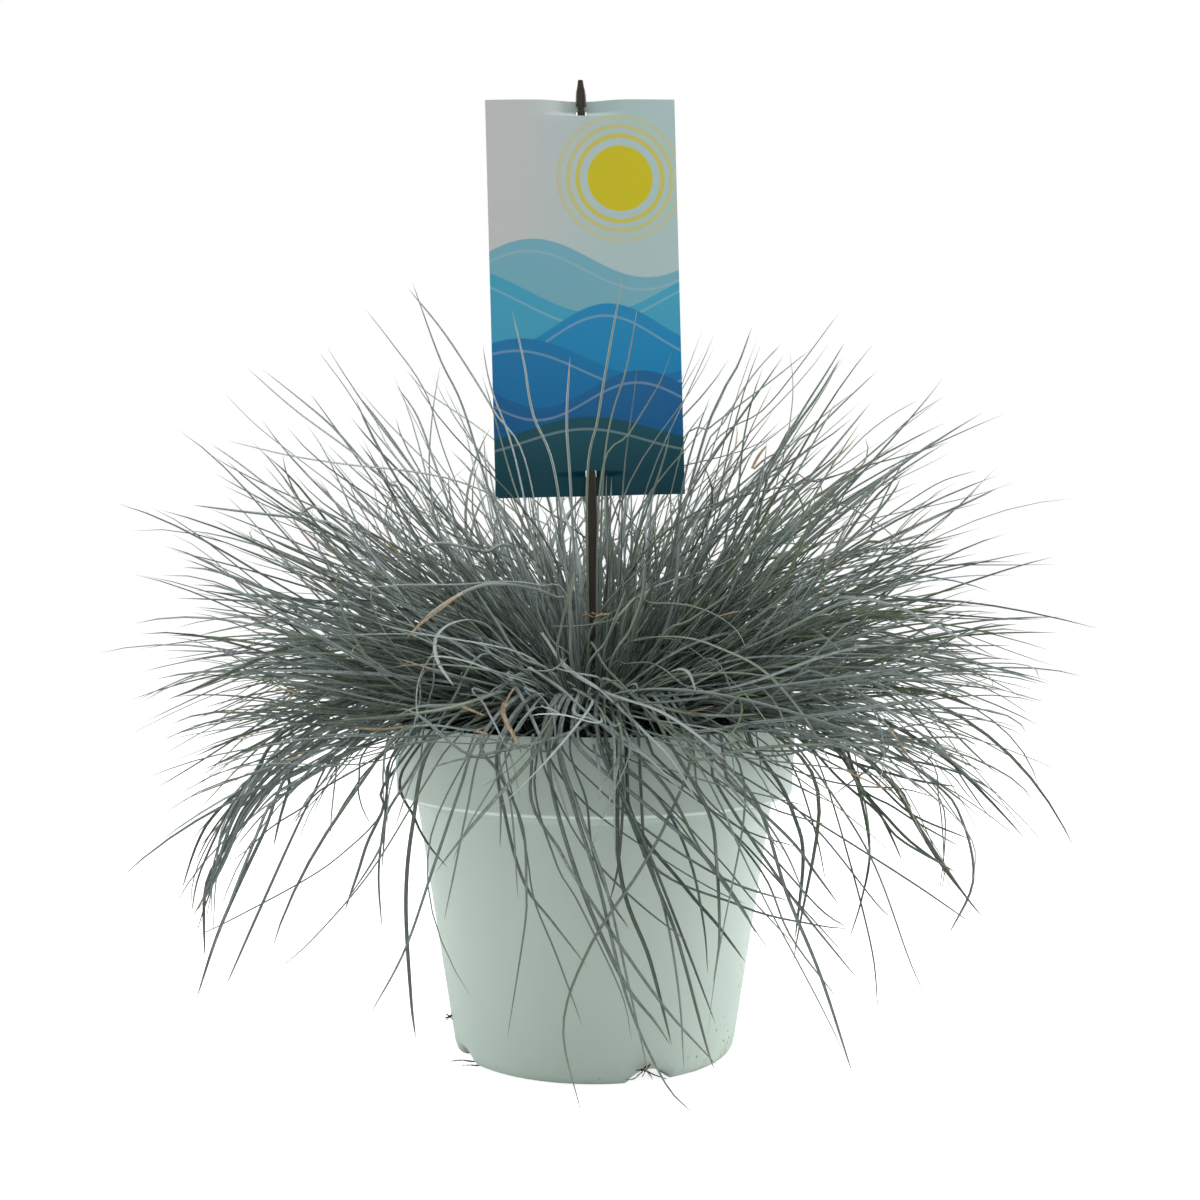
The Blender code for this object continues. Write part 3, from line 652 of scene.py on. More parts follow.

# Single leaves: the depth (y) in millimetres of the first and of the last place, then the places in pixels
# of the photograph. SEEN_LEAVES hang over the pot, trail at the sides, or stand out at the top and edges.
# CROWN_LEAVES are the pale ones that arch in front of the crown.
SEEN_OUTER = 30 * MM
SEEN_INNER = 13 * MM
ARCH_RISE = 14 * MM
ARCH_AT = 0.62
SEEN_LEAVES = (
    ((-82, -125), ((478, 740), (461, 786), (434, 866), (405, 950), (370, 1015))),
    ((-84, -105), ((484, 745), (468, 807), (454, 875), (444, 921))),
    ((-87, -118), ((481, 740), (500, 776), (522, 827), (526, 890), (524, 930), (507, 1041))),
    ((-88, -98), ((500, 752), (501, 810), (500, 850))),
    ((-89, -104), ((500, 745), (512, 810), (518, 900))),
    ((-88, -108), ((498, 745), (506, 820), (525, 885), (553, 923), (589, 969))),
    ((-92, -110), ((618, 745), (623, 780), (622, 821), (618, 867), (609, 905))),
    ((-86, -120), ((545, 745), (584, 803), (655, 854), (714, 890), (747, 904))),
    ((-84, -120), ((590, 738), (655, 793), (721, 862), (755, 903), (800, 951))),
    ((-92, -124), ((600, 748), (642, 836), (683, 938), (716, 1025))),
    ((-94, -126), ((548, 760), (575, 870), (620, 975), (655, 1022), (671, 1046))),
    ((-88, -116), ((560, 742), (600, 790), (660, 840), (730, 882), (792, 902))),
    ((-90, -120), ((575, 742), (640, 800), (700, 852), (740, 905), (757, 936))),
    ((-88, -118), ((600, 740), (660, 800), (690, 860), (704, 925), (708, 975))),
    ((-82, -112), ((640, 740), (700, 800), (750, 850), (800, 905), (845, 955))),
    ((-93, -118), ((540, 745), (558, 800), (590, 855), (640, 905), (688, 942))),
    ((-91, -112), ((628, 742), (668, 790), (694, 838), (712, 870))),
    ((-84, -106), ((660, 738), (712, 776), (770, 808), (830, 826))),
    ((-80, -104), ((690, 736), (742, 790), (784, 850), (808, 905))),
    ((-90, -114), ((570, 748), (586, 800), (592, 850), (610, 900), (630, 930))),
    ((-90, -120), ((505, 740), (526, 850), (534, 900), (556, 955), (583, 1028))),
    ((-91, -125), ((534, 778), (556, 863), (578, 902), (621, 992), (632, 1043))),
    ((-90, -150), ((690, 750), (667, 820), (638, 873), (590, 946), (563, 1026), (582, 1117))),
    ((-91, -152), ((558, 744), (575, 810), (599, 885), (628, 1000), (665, 1082), (694, 1114))),
    ((-93, -145), ((560, 744), (580, 812), (606, 885), (630, 990), (650, 1080))),
    ((-92, -130), ((600, 745), (638, 832), (665, 914), (679, 997), (684, 1071))),
    ((-92, -138), ((610, 760), (655, 880), (677, 936), (706, 1043), (715, 1071))),
    ((-90, -140), ((530, 790), (560, 851), (580, 885), (658, 999), (719, 1068))),
    ((-91, -125), ((670, 745), (708, 812), (716, 861), (719, 936), (713, 983))),
    ((-90, -125), ((630, 810), (683, 885), (718, 926), (746, 963))),
    ((-90, -120), ((620, 870), (650, 960), (672, 1046))),
    ((-86, -122), ((580, 740), (650, 790), (720, 880), (772, 955))),
    ((-84, -110), ((590, 735), (660, 775), (740, 828), (800, 848))),
    ((-82, -118), ((610, 735), (690, 790), (760, 870), (790, 936), (840, 1002))),
    ((-60, -90), ((400, 750), (382, 812), (344, 852), (303, 881), (221, 925), (193, 937))),
    ((-78, -100), ((453, 743), (428, 779), (372, 870), (313, 939), (275, 972))),
    ((-45, -70), ((345, 745), (310, 801), (260, 909), (225, 988))),
    ((-20, -40), ((300, 760), (262, 837), (221, 926), (196, 1000))),
    ((-74, -100), ((432, 745), (413, 824), (406, 900), (411, 998), (416, 1040))),
    ((-66, -84), ((395, 753), (387, 804), (379, 870), (382, 929))),
    ((-50, -62), ((372, 743), (359, 779), (361, 804), (372, 827))),
    ((-72, -86), ((403, 770), (415, 819), (430, 847), (448, 868))),
    ((-80, -140), ((700, 740), (755, 800), (787, 894), (820, 974), (853, 1075))),
    ((-60, -80), ((740, 700), (790, 762), (815, 832), (826, 884))),
    ((-74, -110), ((690, 745), (740, 775), (840, 837), (914, 884), (974, 925))),
    ((-50, -90), ((775, 730), (807, 760), (869, 854), (909, 959), (925, 996))),
    ((-45, -75), ((800, 740), (822, 772), (849, 859), (872, 951), (878, 1012))),
    ((-40, -62), ((835, 740), (854, 772), (870, 847), (862, 899), (848, 943))),
    ((-30, -40), ((920, 750), (939, 800), (944, 872), (939, 897))),
    ((-20, -44), ((930, 780), (961, 819), (973, 880), (948, 936))),
    ((-50, -70), ((840, 780), (877, 812), (899, 839), (959, 874))),
    ((-46, -78), ((890, 780), (914, 819), (959, 887), (984, 919))),
    ((-80, -110), ((700, 790), (765, 849), (820, 909), (850, 929))),
    ((-86, -112), ((640, 850), (740, 906), (815, 925), (852, 929))),
    ((-78, -115), ((720, 790), (790, 894), (839, 956), (859, 980))),
    ((-70, -90), ((770, 770), (795, 819), (803, 859), (795, 941))),
    ((-72, -98), ((720, 770), (790, 839), (815, 872), (840, 906))),
    ((-64, -96), ((770, 780), (825, 839), (874, 901), (892, 919))),
    ((-30, -50), ((329, 714), (282, 746), (246, 789), (223, 826), (215, 873), (205, 926))),
    ((-40, -64), ((345, 722), (291, 751), (259, 779), (234, 818), (218, 862), (197, 913))),
    ((-20, -34), ((313, 714), (272, 757), (240, 802), (226, 834), (216, 881), (213, 939))),
    ((-46, -70), ((337, 738), (291, 767), (259, 798), (240, 826), (223, 865), (199, 910))),
    ((-36, -60), ((305, 754), (272, 781), (246, 811), (231, 843), (210, 886), (192, 918))),
    ((-10, -20), ((282, 738), (259, 770), (234, 802), (210, 834), (194, 865))),
    ((-44, -60), ((329, 757), (291, 773), (266, 794), (246, 822), (224, 849), (218, 878))),
    ((-66, -90), ((409, 738), (361, 767), (318, 792), (307, 805), (272, 827), (246, 851), (227, 864))),
    ((-50, -60), ((340, 750), (337, 768), (333, 802), (331, 826), (332, 845))),
    ((-40, -50), ((300, 762), (290, 786), (280, 818), (273, 849))),
    ((-60, -76), ((379, 759), (350, 795), (333, 822))),
    ((-50, -66), ((345, 754), (326, 779), (307, 800), (294, 826))),
    ((-64, -80), ((388, 780), (384, 808), (368, 842), (358, 873), (344, 913))),
    ((-50, -70), ((329, 765), (282, 789), (266, 802), (253, 816))),
    ((-40, -74), ((808, 717), (849, 762), (862, 789), (888, 819), (912, 843), (954, 873))),
    ((-44, -80), ((824, 739), (862, 789), (891, 806), (919, 824), (962, 848))),
    ((-30, -60), ((840, 735), (872, 765), (896, 790), (913, 819), (939, 862), (967, 899))),
    ((-50, -84), ((850, 760), (881, 787), (904, 809), (926, 822), (972, 840))),
    ((-20, -44), ((900, 750), (935, 787), (951, 809), (972, 841), (975, 865), (969, 894))),
    ((-10, -30), ((890, 740), (919, 774), (942, 803), (945, 841), (939, 897))),
    ((-40, -56), ((830, 742), (849, 771), (862, 794), (868, 825), (869, 856), (862, 899))),
    ((-46, -66), ((820, 720), (840, 746), (859, 787), (878, 811), (892, 838), (903, 863))),
    ((-70, -100), ((760, 755), (789, 768), (821, 779), (856, 786), (904, 789), (943, 800))),
    ((-40, -70), ((800, 740), (840, 758), (881, 771), (919, 781), (959, 787))),
    ((0, -20), ((895, 745), (927, 762), (951, 774), (967, 794), (982, 809))),
    ((-30, -50), ((293, 726), (252, 777), (221, 836), (214, 879), (201, 917), (196, 938))),
    ((-10, -40), ((272, 759), (234, 802), (216, 836), (198, 879), (191, 917))),
    ((-6, -20), ((252, 782), (214, 815), (196, 846), (181, 892))),
    ((-40, -60), ((303, 739), (265, 777), (232, 820), (214, 861), (211, 922))),
    ((-50, -76), ((329, 754), (293, 790), (272, 802), (252, 848), (227, 912), (209, 960))),
    ((-16, -34), ((270, 764), (227, 815), (206, 848), (193, 881), (191, 912))),
    ((-24, -50), ((285, 762), (247, 805), (229, 841), (209, 876), (204, 907), (205, 960))),
    ((-70, -84), ((400, 744), (387, 790), (385, 830), (382, 871))),
    ((-60, -96), ((451, 652), (433, 688), (424, 726), (420, 759), (408, 779))),
    ((-50, -104), ((492, 654), (451, 703), (426, 749), (410, 777), (387, 813), (380, 848), (346, 902))),
    ((-60, -100), ((515, 685), (479, 703), (449, 723), (420, 764), (408, 790), (395, 828))),
    ((-56, -90), ((438, 670), (420, 703), (415, 723), (405, 744), (390, 790), (387, 830))),
    ((-8, -20), ((432, 510), (406, 471), (371, 427), (345, 387), (318, 351))),
    ((-16, -40), ((410, 505), (390, 484), (364, 462), (333, 427), (299, 398), (262, 369))),
    ((4, 0), ((400, 535), (371, 515), (325, 479), (295, 456), (256, 425), (224, 393))),
    ((-20, -40), ((360, 545), (314, 519), (276, 492), (237, 462), (211, 444))),
    (
        (-46, -60),
        (
            *((560, 548), (518, 514), (494, 496), (457, 481), (421, 473)),
            *((381, 468), (350, 465), (291, 456), (228, 441)),
        ),
    ),
    ((-20, -30), ((420, 545), (395, 515), (371, 479), (343, 439), (310, 393))),
    ((10, 14), ((450, 525), (433, 498), (410, 465), (383, 427), (358, 395))),
    ((-24, -30), ((455, 560), (434, 512), (429, 462), (433, 408), (440, 366))),
    ((-10, -20), ((456, 530), (448, 502), (434, 462), (417, 416), (396, 385))),
    ((-30, -60), ((420, 505), (390, 484), (352, 452), (295, 410), (247, 368))),
    ((26, 12), ((552, 510), (520, 464), (484, 432), (448, 407), (424, 390), (406, 370))),
    ((-10, -20), ((350, 545), (314, 519), (287, 492), (264, 465))),
    ((-20, -50), ((340, 524), (295, 518), (237, 511), (192, 505))),
    ((-20, -30), ((489, 490), (462, 404), (440, 358), (412, 281))),
    ((-10, -16), ((530, 480), (493, 410), (447, 337), (407, 287))),
    ((-30, -50), ((455, 480), (426, 394), (390, 341), (365, 309))),
    ((-14, -20), ((520, 480), (493, 394), (486, 366), (483, 345))),
    ((-24, -52), ((558, 492), (533, 414), (524, 362), (512, 310))),
    ((-26, -40), ((571, 490), (567, 423), (570, 356))),
    ((-24, -44), ((587, 490), (598, 419), (608, 358), (623, 276))),
    ((-30, -56), ((604, 470), (627, 366), (638, 304))),
    ((-30, -52), ((600, 484), (630, 432), (659, 384), (672, 351))),
    ((-16, -30), ((697, 472), (762, 411), (789, 380), (839, 313))),
    ((-6, -10), ((697, 462), (722, 394), (738, 365), (752, 327))),
    ((-30, -56), ((774, 463), (818, 396), (840, 359))),
    ((10, 20), ((783, 463), (812, 434), (843, 403), (877, 371))),
    ((20, 40), ((715, 442), (730, 411), (755, 373), (780, 346))),
    ((-10, -24), ((750, 560), (770, 505), (782, 463), (790, 422), (793, 386), (790, 352))),
    ((-20, -40), ((680, 456), (707, 430), (737, 407), (770, 382), (810, 350))),
    ((0, -10), ((701, 464), (722, 426), (743, 390), (760, 367), (781, 344))),
    ((-10, -20), ((764, 475), (781, 447), (806, 405), (827, 372), (845, 342))),
    ((-16, -30), ((754, 500), (775, 468), (798, 430), (825, 388), (841, 357))),
    ((0, 0), ((796, 517), (827, 489), (859, 464), (886, 441), (911, 418), (945, 396))),
    ((10, 10), ((815, 489), (836, 466), (863, 437), (890, 416), (920, 399))),
    ((-20, -40), ((817, 523), (848, 502), (880, 481), (911, 458), (935, 440))),
    ((-26, -50), ((775, 496), (815, 483), (859, 468), (911, 454), (948, 442))),
    ((-10, -10), ((861, 546), (869, 531), (882, 502), (897, 473), (911, 449))),
    ((-10, 0), ((859, 590), (901, 557), (943, 521), (975, 489), (996, 468))),
    ((-30, -40), ((838, 561), (880, 542), (922, 523), (964, 504), (998, 488))),
    ((-20, -30), ((848, 544), (880, 521), (911, 500), (943, 481), (979, 470))),
    ((-40, -60), ((796, 504), (827, 502), (855, 510), (882, 527), (903, 546), (916, 563))),
    ((-50, -60), ((764, 531), (781, 528), (792, 538), (796, 553), (795, 565))),
    ((16, 26), ((812, 510), (850, 472), (889, 438), (938, 401))),
)
CROWN_LEAVES = (
    ((-32, -106), ((612, 657), (645, 639), (686, 638), (721, 649), (762, 670), (800, 711), (832, 765))),
    ((-36, -98), ((625, 650), (670, 639), (706, 660), (739, 688), (767, 723), (783, 754))),
    ((-40, -98), ((500, 640), (476, 621), (451, 624), (436, 639), (438, 662), (455, 688))),
    ((-30, -84), ((484, 640), (489, 652), (507, 665), (528, 670), (553, 670), (568, 657))),
    ((-66, -30), ((553, 675), (520, 657), (494, 619), (469, 580))),
    ((-50, -40), ((573, 662), (553, 642), (538, 611), (535, 575))),
    ((-40, -60), ((640, 603), (614, 619), (579, 626), (548, 626))),
    ((-50, -44), ((612, 662), (630, 631), (642, 598), (645, 560))),
    ((-26, -90), ((572, 612), (555, 597), (528, 587), (500, 584), (474, 588), (437, 609), (408, 636))),
    ((-30, -92), ((567, 600), (539, 586), (506, 582), (457, 585), (409, 585), (362, 588))),
    ((-24, -60), ((520, 560), (485, 552), (464, 547), (438, 543), (410, 551))),
    (
        (-34, -122),
        ((589, 646), (604, 666), (624, 687), (637, 700), (650, 713), (669, 731), (689, 752), (720, 800)),
    ),
    ((-44, -120), ((559, 668), (580, 679), (604, 692), (626, 700), (658, 711), (691, 731), (730, 764))),
    (
        (-30, -124),
        ((541, 636), (559, 659), (576, 674), (600, 690), (628, 716), (645, 733), (671, 759), (700, 806)),
    ),
    ((-36, -108), ((612, 668), (628, 664), (650, 663), (665, 670), (682, 684), (702, 690), (740, 706))),
    ((-50, -98), ((632, 700), (650, 690), (680, 679), (713, 674), (745, 674), (790, 680))),
    ((-54, -116), ((570, 690), (600, 704), (632, 716), (665, 722), (705, 728), (750, 742))),
    ((-60, -114), ((590, 700), (625, 722), (660, 736), (700, 742), (742, 744))),
    ((-50, -106), ((600, 680), (640, 700), (680, 712), (720, 716), (760, 714))),
    ((-50, -56), ((559, 660), (561, 627), (572, 579), (578, 548))),
    ((-54, -58), ((572, 664), (570, 633), (570, 603), (575, 570))),
    ((-52, -66), ((587, 672), (606, 642), (617, 614), (626, 590))),
    ((-44, -40), ((589, 638), (606, 618), (624, 605), (648, 588), (671, 572), (708, 551))),
    ((-72, -108), ((604, 698), (655, 703), (727, 695), (772, 687), (849, 677), (914, 667), (986, 658))),
    (
        (-84, -110),
        ((690, 730), (751, 723), (792, 719), (833, 713), (870, 707), (904, 701), (945, 691), (996, 676)),
    ),
    (
        (-64, -84),
        ((650, 682), (690, 674), (727, 673), (772, 666), (812, 654), (853, 640), (894, 625), (976, 599)),
    ),
    ((-40, -40), ((660, 640), (690, 621), (731, 595), (772, 576), (833, 560))),
    ((-36, -84), ((628, 610), (655, 604), (684, 605), (704, 610), (721, 618), (737, 631), (746, 648))),
    ((-96, -100), ((690, 756), (731, 752), (782, 746), (833, 744), (894, 746))),
    ((-60, -112), ((528, 670), (559, 687), (585, 711), (609, 731), (628, 746), (650, 759), (690, 800))),
    ((-76, -104), ((574, 708), (576, 715), (591, 719), (608, 728), (640, 751), (676, 786))),
    ((-78, -98), ((478, 690), (484, 703), (493, 720), (500, 734), (512, 760), (520, 800))),
    ((-50, -94), ((528, 676), (496, 692), (476, 700), (453, 705), (420, 706), (396, 716))),
    ((-50, -102), ((511, 674), (518, 690), (526, 705), (533, 720), (541, 739), (560, 790), (572, 830))),
    ((-70, -96), ((526, 692), (537, 693), (548, 705), (554, 719), (555, 734), (554, 746))),
    ((-88, -98), ((517, 731), (524, 719), (537, 707), (550, 709), (564, 716))),
    ((-60, -98), ((450, 640), (433, 654), (420, 676), (416, 700), (418, 724))),
)


def swayed(points):
    """The drift that neighbouring leaves share: sine waves through space that grow with the distance out."""
    distance = np.hypot(points[..., 0], points[..., 1]) + np.abs(points[..., 2] - SOIL_TOP)
    away = smooth((distance - SWAY_START) / (SWAY_FULL - SWAY_START))[..., None]
    drift = sum(np.sin(points @ np.array(wave) + phase)[..., None] * reach for reach, wave, phase in SWAYS)
    return points + away * drift


def over_the_rim(points):
    """Lifts points to the soil's surface, and to the rim's top where they cross it.

    Returns the points and each leaf's largest lift.
    """
    out = np.hypot(points[..., 0], points[..., 1])
    rise = smooth((out - RIM_LIFT_START) / (RIM_LIFT_FULL - RIM_LIFT_START))
    least = SOIL_TOP + SOIL_CLEARANCE + (POT_HEIGHT - SOIL_TOP + RIM_CLEARANCE) * rise
    lift = np.where(out < RIM_CLEAR, np.maximum(least - points[..., 2], 0), 0)
    return points + lift[..., None] * (0, 0, 1), lift.max(axis=-1)


def beside_stake(x, z):
    """How far a place lies to the right of the leaning stake's axis."""
    return x - (STAKE_FOOT_X - z * math.tan(STAKE_LEAN))


def is_clear(points, lift):
    """Which leaves keep off the floor, the stake and the card, and weren't lifted far."""
    x, y, z = np.moveaxis(points, -1, 0)
    across = beside_stake(x, z)
    off_stake = np.hypot(across, y)
    off_card = np.abs(y - across * math.tan(CARD_YAW))
    by_card = (z > CARD_BOTTOM - CARD_CLEARANCE) & (np.abs(across) < CARD_WIDTH / 2 + CARD_CLEARANCE)
    hits_card = (by_card & (off_card < CARD_CLEARANCE)).any(axis=1)
    low, high = (np.array(corner) for corner in cad_box)
    inside = ((points > low - BOX_MARGIN) & (points < high + BOX_MARGIN)).all(axis=(1, 2))
    free = (z.min(axis=1) > LOWEST_LEAF) & (off_stake.min(axis=1) > STAKE_CLEARANCE) & ~hits_card
    return free & inside & (lift < MOST_LIFT)


def is_parted(points, chance):
    """Which leaves rise high in front of the crown, turn back across it, or cross in front of the stake.

    None of these is in the photograph: the front of the crown lies open, and the stake stands in a gap.
    """
    x, y, z = np.moveaxis(points, -1, 0)
    most = FRONT_HEIGHT + FRONT_SPREAD * chance.random((len(points), 1)) ** 2
    rises = ((y < FRONT_START) & (np.abs(x) < FRONT_HALF) & (z > most)).any(axis=1)
    in_gap = (z > PARTED_LOW) & (z < CARD_BOTTOM) & (np.abs(beside_stake(x, z)) < PARTED_HALF)
    crosses = ((y < 0) & in_gap).any(axis=1)
    back = np.maximum.accumulate(np.abs(x), axis=1) - np.abs(x)
    returns = ((y < FRONT_START) & (z > COLLAR_FOOT) & (back > MOST_RETURN)).any(axis=1)
    return rises | crosses | returns


def tuft_places():
    """Distance out and turn of every tuft, on a sunflower spiral that fills the crown evenly."""
    share = (np.arange(TUFT_COUNT) + 0.5) / TUFT_COUNT
    out = np.sqrt(CROWN_INNER**2 + share * (CROWN_OUTER**2 - CROWN_INNER**2))
    return out, np.arange(TUFT_COUNT) * GOLDEN_ANGLE


def leaf_feet(index, chance):
    """Foot (x, y) of each leaf of a tuft: shoots strewn evenly over a disc, and leaves round each shoot."""
    tuft_out, tuft_turn = (float(part[index]) for part in tuft_places())
    out = TUFT_SPREAD * np.sqrt(chance.random(SHOOTS))
    turn = 2 * math.pi * chance.random(SHOOTS)
    around = 2 * math.pi * chance.random(SHOOTS * LEAVES_PER_SHOOT)
    shoot_x = np.repeat(tuft_out * math.cos(tuft_turn) + out * np.cos(turn), LEAVES_PER_SHOOT)
    shoot_y = np.repeat(tuft_out * math.sin(tuft_turn) + out * np.sin(turn), LEAVES_PER_SHOOT)
    return shoot_x + SHOOT_RADIUS * np.cos(around), shoot_y + SHOOT_RADIUS * np.sin(around)


def per_shoot(chance):
    """One draw for each shoot, the same for all its leaves."""
    return np.repeat(chance.normal(0, SHOOT_SPREAD, SHOOTS), LEAVES_PER_SHOOT)


def leaf_headings(foot_x, foot_y, out, chance):
    """The way each leaf sets off, as an angle from +X: outwards from the middle, with a spread.

    The spread is wider the nearer the leaf is to the middle. In front, a bell curve round COMB_FROM draws the
    heading towards COMB_TO, and a tanh under a bell curve pushes it away from PARTING to both sides.
    """
    leaves = len(out)
    loose = np.clip(LOOSE_TO - out, LOOSE_LEAST, 1)
    heading = np.arctan2(foot_y, foot_x)
    combed = np.exp(-(((heading - COMB_FROM) / COMB_WIDTH) ** 2)) * np.minimum(out, 1)
    heading = heading + COMB_SHARE * combed * (COMB_TO - heading)
    heading = heading + per_shoot(chance) * (1 + LOOSE_SHOOTS * loose)
    heading = heading + loose**2 * chance.normal(0, LOOSE_SPREAD, leaves)
    stray = np.where(chance.random(leaves) < STRAY_SHARE, STRAY_SPREAD, HEADING_SPREAD)
    heading = heading + stray * chance.normal(0, 1, leaves)
    apart = (heading - PARTING + math.pi) % (2 * math.pi) - math.pi
    return heading + PARTING_PUSH * np.tanh(apart / PARTING_SHARP) * np.exp(-((apart / PARTING_WIDTH) ** 2))


def leaf_lines(index, chance):
    """Middle lines of one tuft's leaves, and the heading at each of their points.

    At a distance s along the leaf the slope from upright is
        launch (a + (1 - a) smooth(s / opening)) + droop (s / length) ^ power + a small sine bend,
    and the heading turns by the leaf's curl. Their sum along s is the line. Launch, droop and length come
    from how far out in the crown the shoot stands. Then the line sways and is lifted over the rim, and only
    leaves that are clear and don't stand in the way are kept.
    """
    foot_x, foot_y = leaf_feet(index, chance)
    leaves = len(foot_x)
    out = np.hypot(foot_x, foot_y) / CROWN_OUTER
    heading = leaf_headings(foot_x, foot_y, out, chance)
    launch = LAUNCH_LEAST + (LAUNCH_MOST - LAUNCH_LEAST) * np.minimum(out, LAUNCH_OUTMOST) ** LAUNCH_POWER
    launch = np.abs(launch + per_shoot(chance) + chance.normal(0, LAUNCH_SPREAD, leaves))
    loss = LENGTH_LOSS + OUTER_LENGTH_LOSS * np.minimum(out, 1)
    full = LONGEST - loss * chance.random(leaves) ** LENGTH_LOSS_POWER
    length = np.interp(out, OUTWARD_SHARES, LENGTHS) * full
    droop = np.interp(out, OUTWARD_SHARES, DROOPS) * full**DROOP_LENGTH_POWER
    droop = droop * np.exp(per_shoot(chance) + chance.normal(0, DROOP_SPREAD, leaves))
    curl = chance.normal(0, CURL_SPREAD, leaves)
    curl = curl * np.where(chance.random(leaves) < CURLED_SHARE, CURLED_TIMES, 1)
    bend = chance.normal(0, BEND_SPREAD, leaves)

    along = np.linspace(0, 1, LEAF_RINGS * FINE_STEPS + 1)
    opening = SHEATH_TILT_SHARE + (1 - SHEATH_TILT_SHARE) * smooth(along * length[:, None] / LEAF_OPENING)
    slope = launch[:, None] * opening + droop[:, None] * along**DROOP_POWER
    slope = np.minimum(slope + bend[:, None] * np.sin(2 * math.pi * along), STEEPEST)
    way = heading[:, None] + curl[:, None] * along**CURL_POWER
    steps = np.stack([np.sin(slope) * np.cos(way), np.sin(slope) * np.sin(way), np.cos(slope)], axis=-1)
    steps = (steps[:, 1:] + steps[:, :-1]) / 2 * (length / (len(along) - 1))[:, None, None]
    foot = np.stack([foot_x, foot_y, np.full(leaves, SOIL_TOP - FOOT_DEPTH)], axis=1)
    line = np.concatenate([foot[:, None], foot[:, None] + np.cumsum(steps, axis=1)], axis=1)
    line, lift = over_the_rim(swayed(line))
    kept = np.flatnonzero(is_clear(line[:, FOOT_POINTS:], lift))[: SHOOTS_PER_TUFT * LEAVES_PER_SHOOT]
    kept = kept[~is_parted(line[kept], chance)]
    return line[kept][:, ::FINE_STEPS], way[kept][:, ::FINE_STEPS]


def seen_lines():
    """Middle line, heading and nearest tuft of each single leaf that stands out in the photograph.

    The line starts in the crown, arches over the rim if its first seen place is hardly higher, and goes on
    through the seen places, whose depth goes evenly from the first to the last one.
    """
    lines, ways, tufts = [], [], []
    tuft_out, tuft_turn = tuft_places()
    tuft_x, tuft_y = tuft_out * np.cos(tuft_turn), tuft_out * np.sin(tuft_turn)
    for depths, pixels in SEEN_LEAVES + CROWN_LEAVES:
        points = seen_places(depths, pixels)
        x, y, z = points[0]
        heading = math.atan2(y, x)
        hangs = z < POT_HEIGHT + ARCH_RISE
        foot_radius = SEEN_OUTER if hangs else SEEN_INNER
        foot = [foot_radius * math.cos(heading), foot_radius * math.sin(heading), SOIL_TOP - FOOT_DEPTH]
        start = [foot]
        if hangs:
            start.append([ARCH_AT * x, ARCH_AT * y, POT_HEIGHT + ARCH_RISE])
        line = through(np.concatenate([start, points]), SEEN_RINGS + 1)
        lines.append(over_the_rim(line)[0] if hangs else line)
        ways.append(np.full(SEEN_RINGS + 1, math.atan2(points[-1, 1] - foot[1], points[-1, 0] - foot[0])))
        tufts.append(np.hypot(tuft_x - foot[0], tuft_y - foot[1]).argmin())
    return np.array(lines), np.array(ways), np.array(tufts)


def leaf_skin(line, way, half_width, taper, chance):
    """The skin of folded leaves: a ring of margin, fold, margin and keel round each point of the middle line.

    The half width is W (1 - s^taper)^TAPER_POWER, with s from 0 to 1 along the leaf, and a fifth less at the
    foot. Of it, the margins stand MARGIN_RISE above the middle line and the keel KEEL_DEPTH below. The whole
    section turns about the line by the leaf's own twist.
    """
    leaves, count = line.shape[:2]
    tangent = unit(np.gradient(line, axis=1))
    side = np.stack([-np.sin(way), np.cos(way), np.zeros(way.shape)], axis=-1)
    side = unit(side - (side * tangent).sum(axis=2, keepdims=True) * tangent)
    keel = np.cross(side, tangent)
    s = np.linspace(0, 1, count)
    twist = chance.normal(0, TWIST_SPREAD, (leaves, 1)) + chance.normal(0, TWIST_GAIN, (leaves, 1)) * s
    turned_side = np.cos(twist)[..., None] * side + np.sin(twist)[..., None] * keel
    turned_keel = np.cos(twist)[..., None] * keel - np.sin(twist)[..., None] * side
    width = half_width[:, None] * np.clip(1 - s**taper, 0, 1) ** TAPER_POWER
    width = width * (FOOT_WIDTH + FOOT_WIDTH_LOSS * smooth(s / FOOT_SHARE))
    width = np.maximum(width, LEAF_THINNEST)[..., None]
    margin = -MARGIN_RISE * turned_keel
    section = [turned_side + margin, FOLD_DEPTH * turned_keel, margin - turned_side, KEEL_DEPTH * turned_keel]
    rings = line[:, :, None] + np.stack(section, axis=2) * width[:, :, None]
    return skin(rings[:, :-1], line[:, 0] - tangent[:, 0] * FOOT_POINT, line[:, -1])


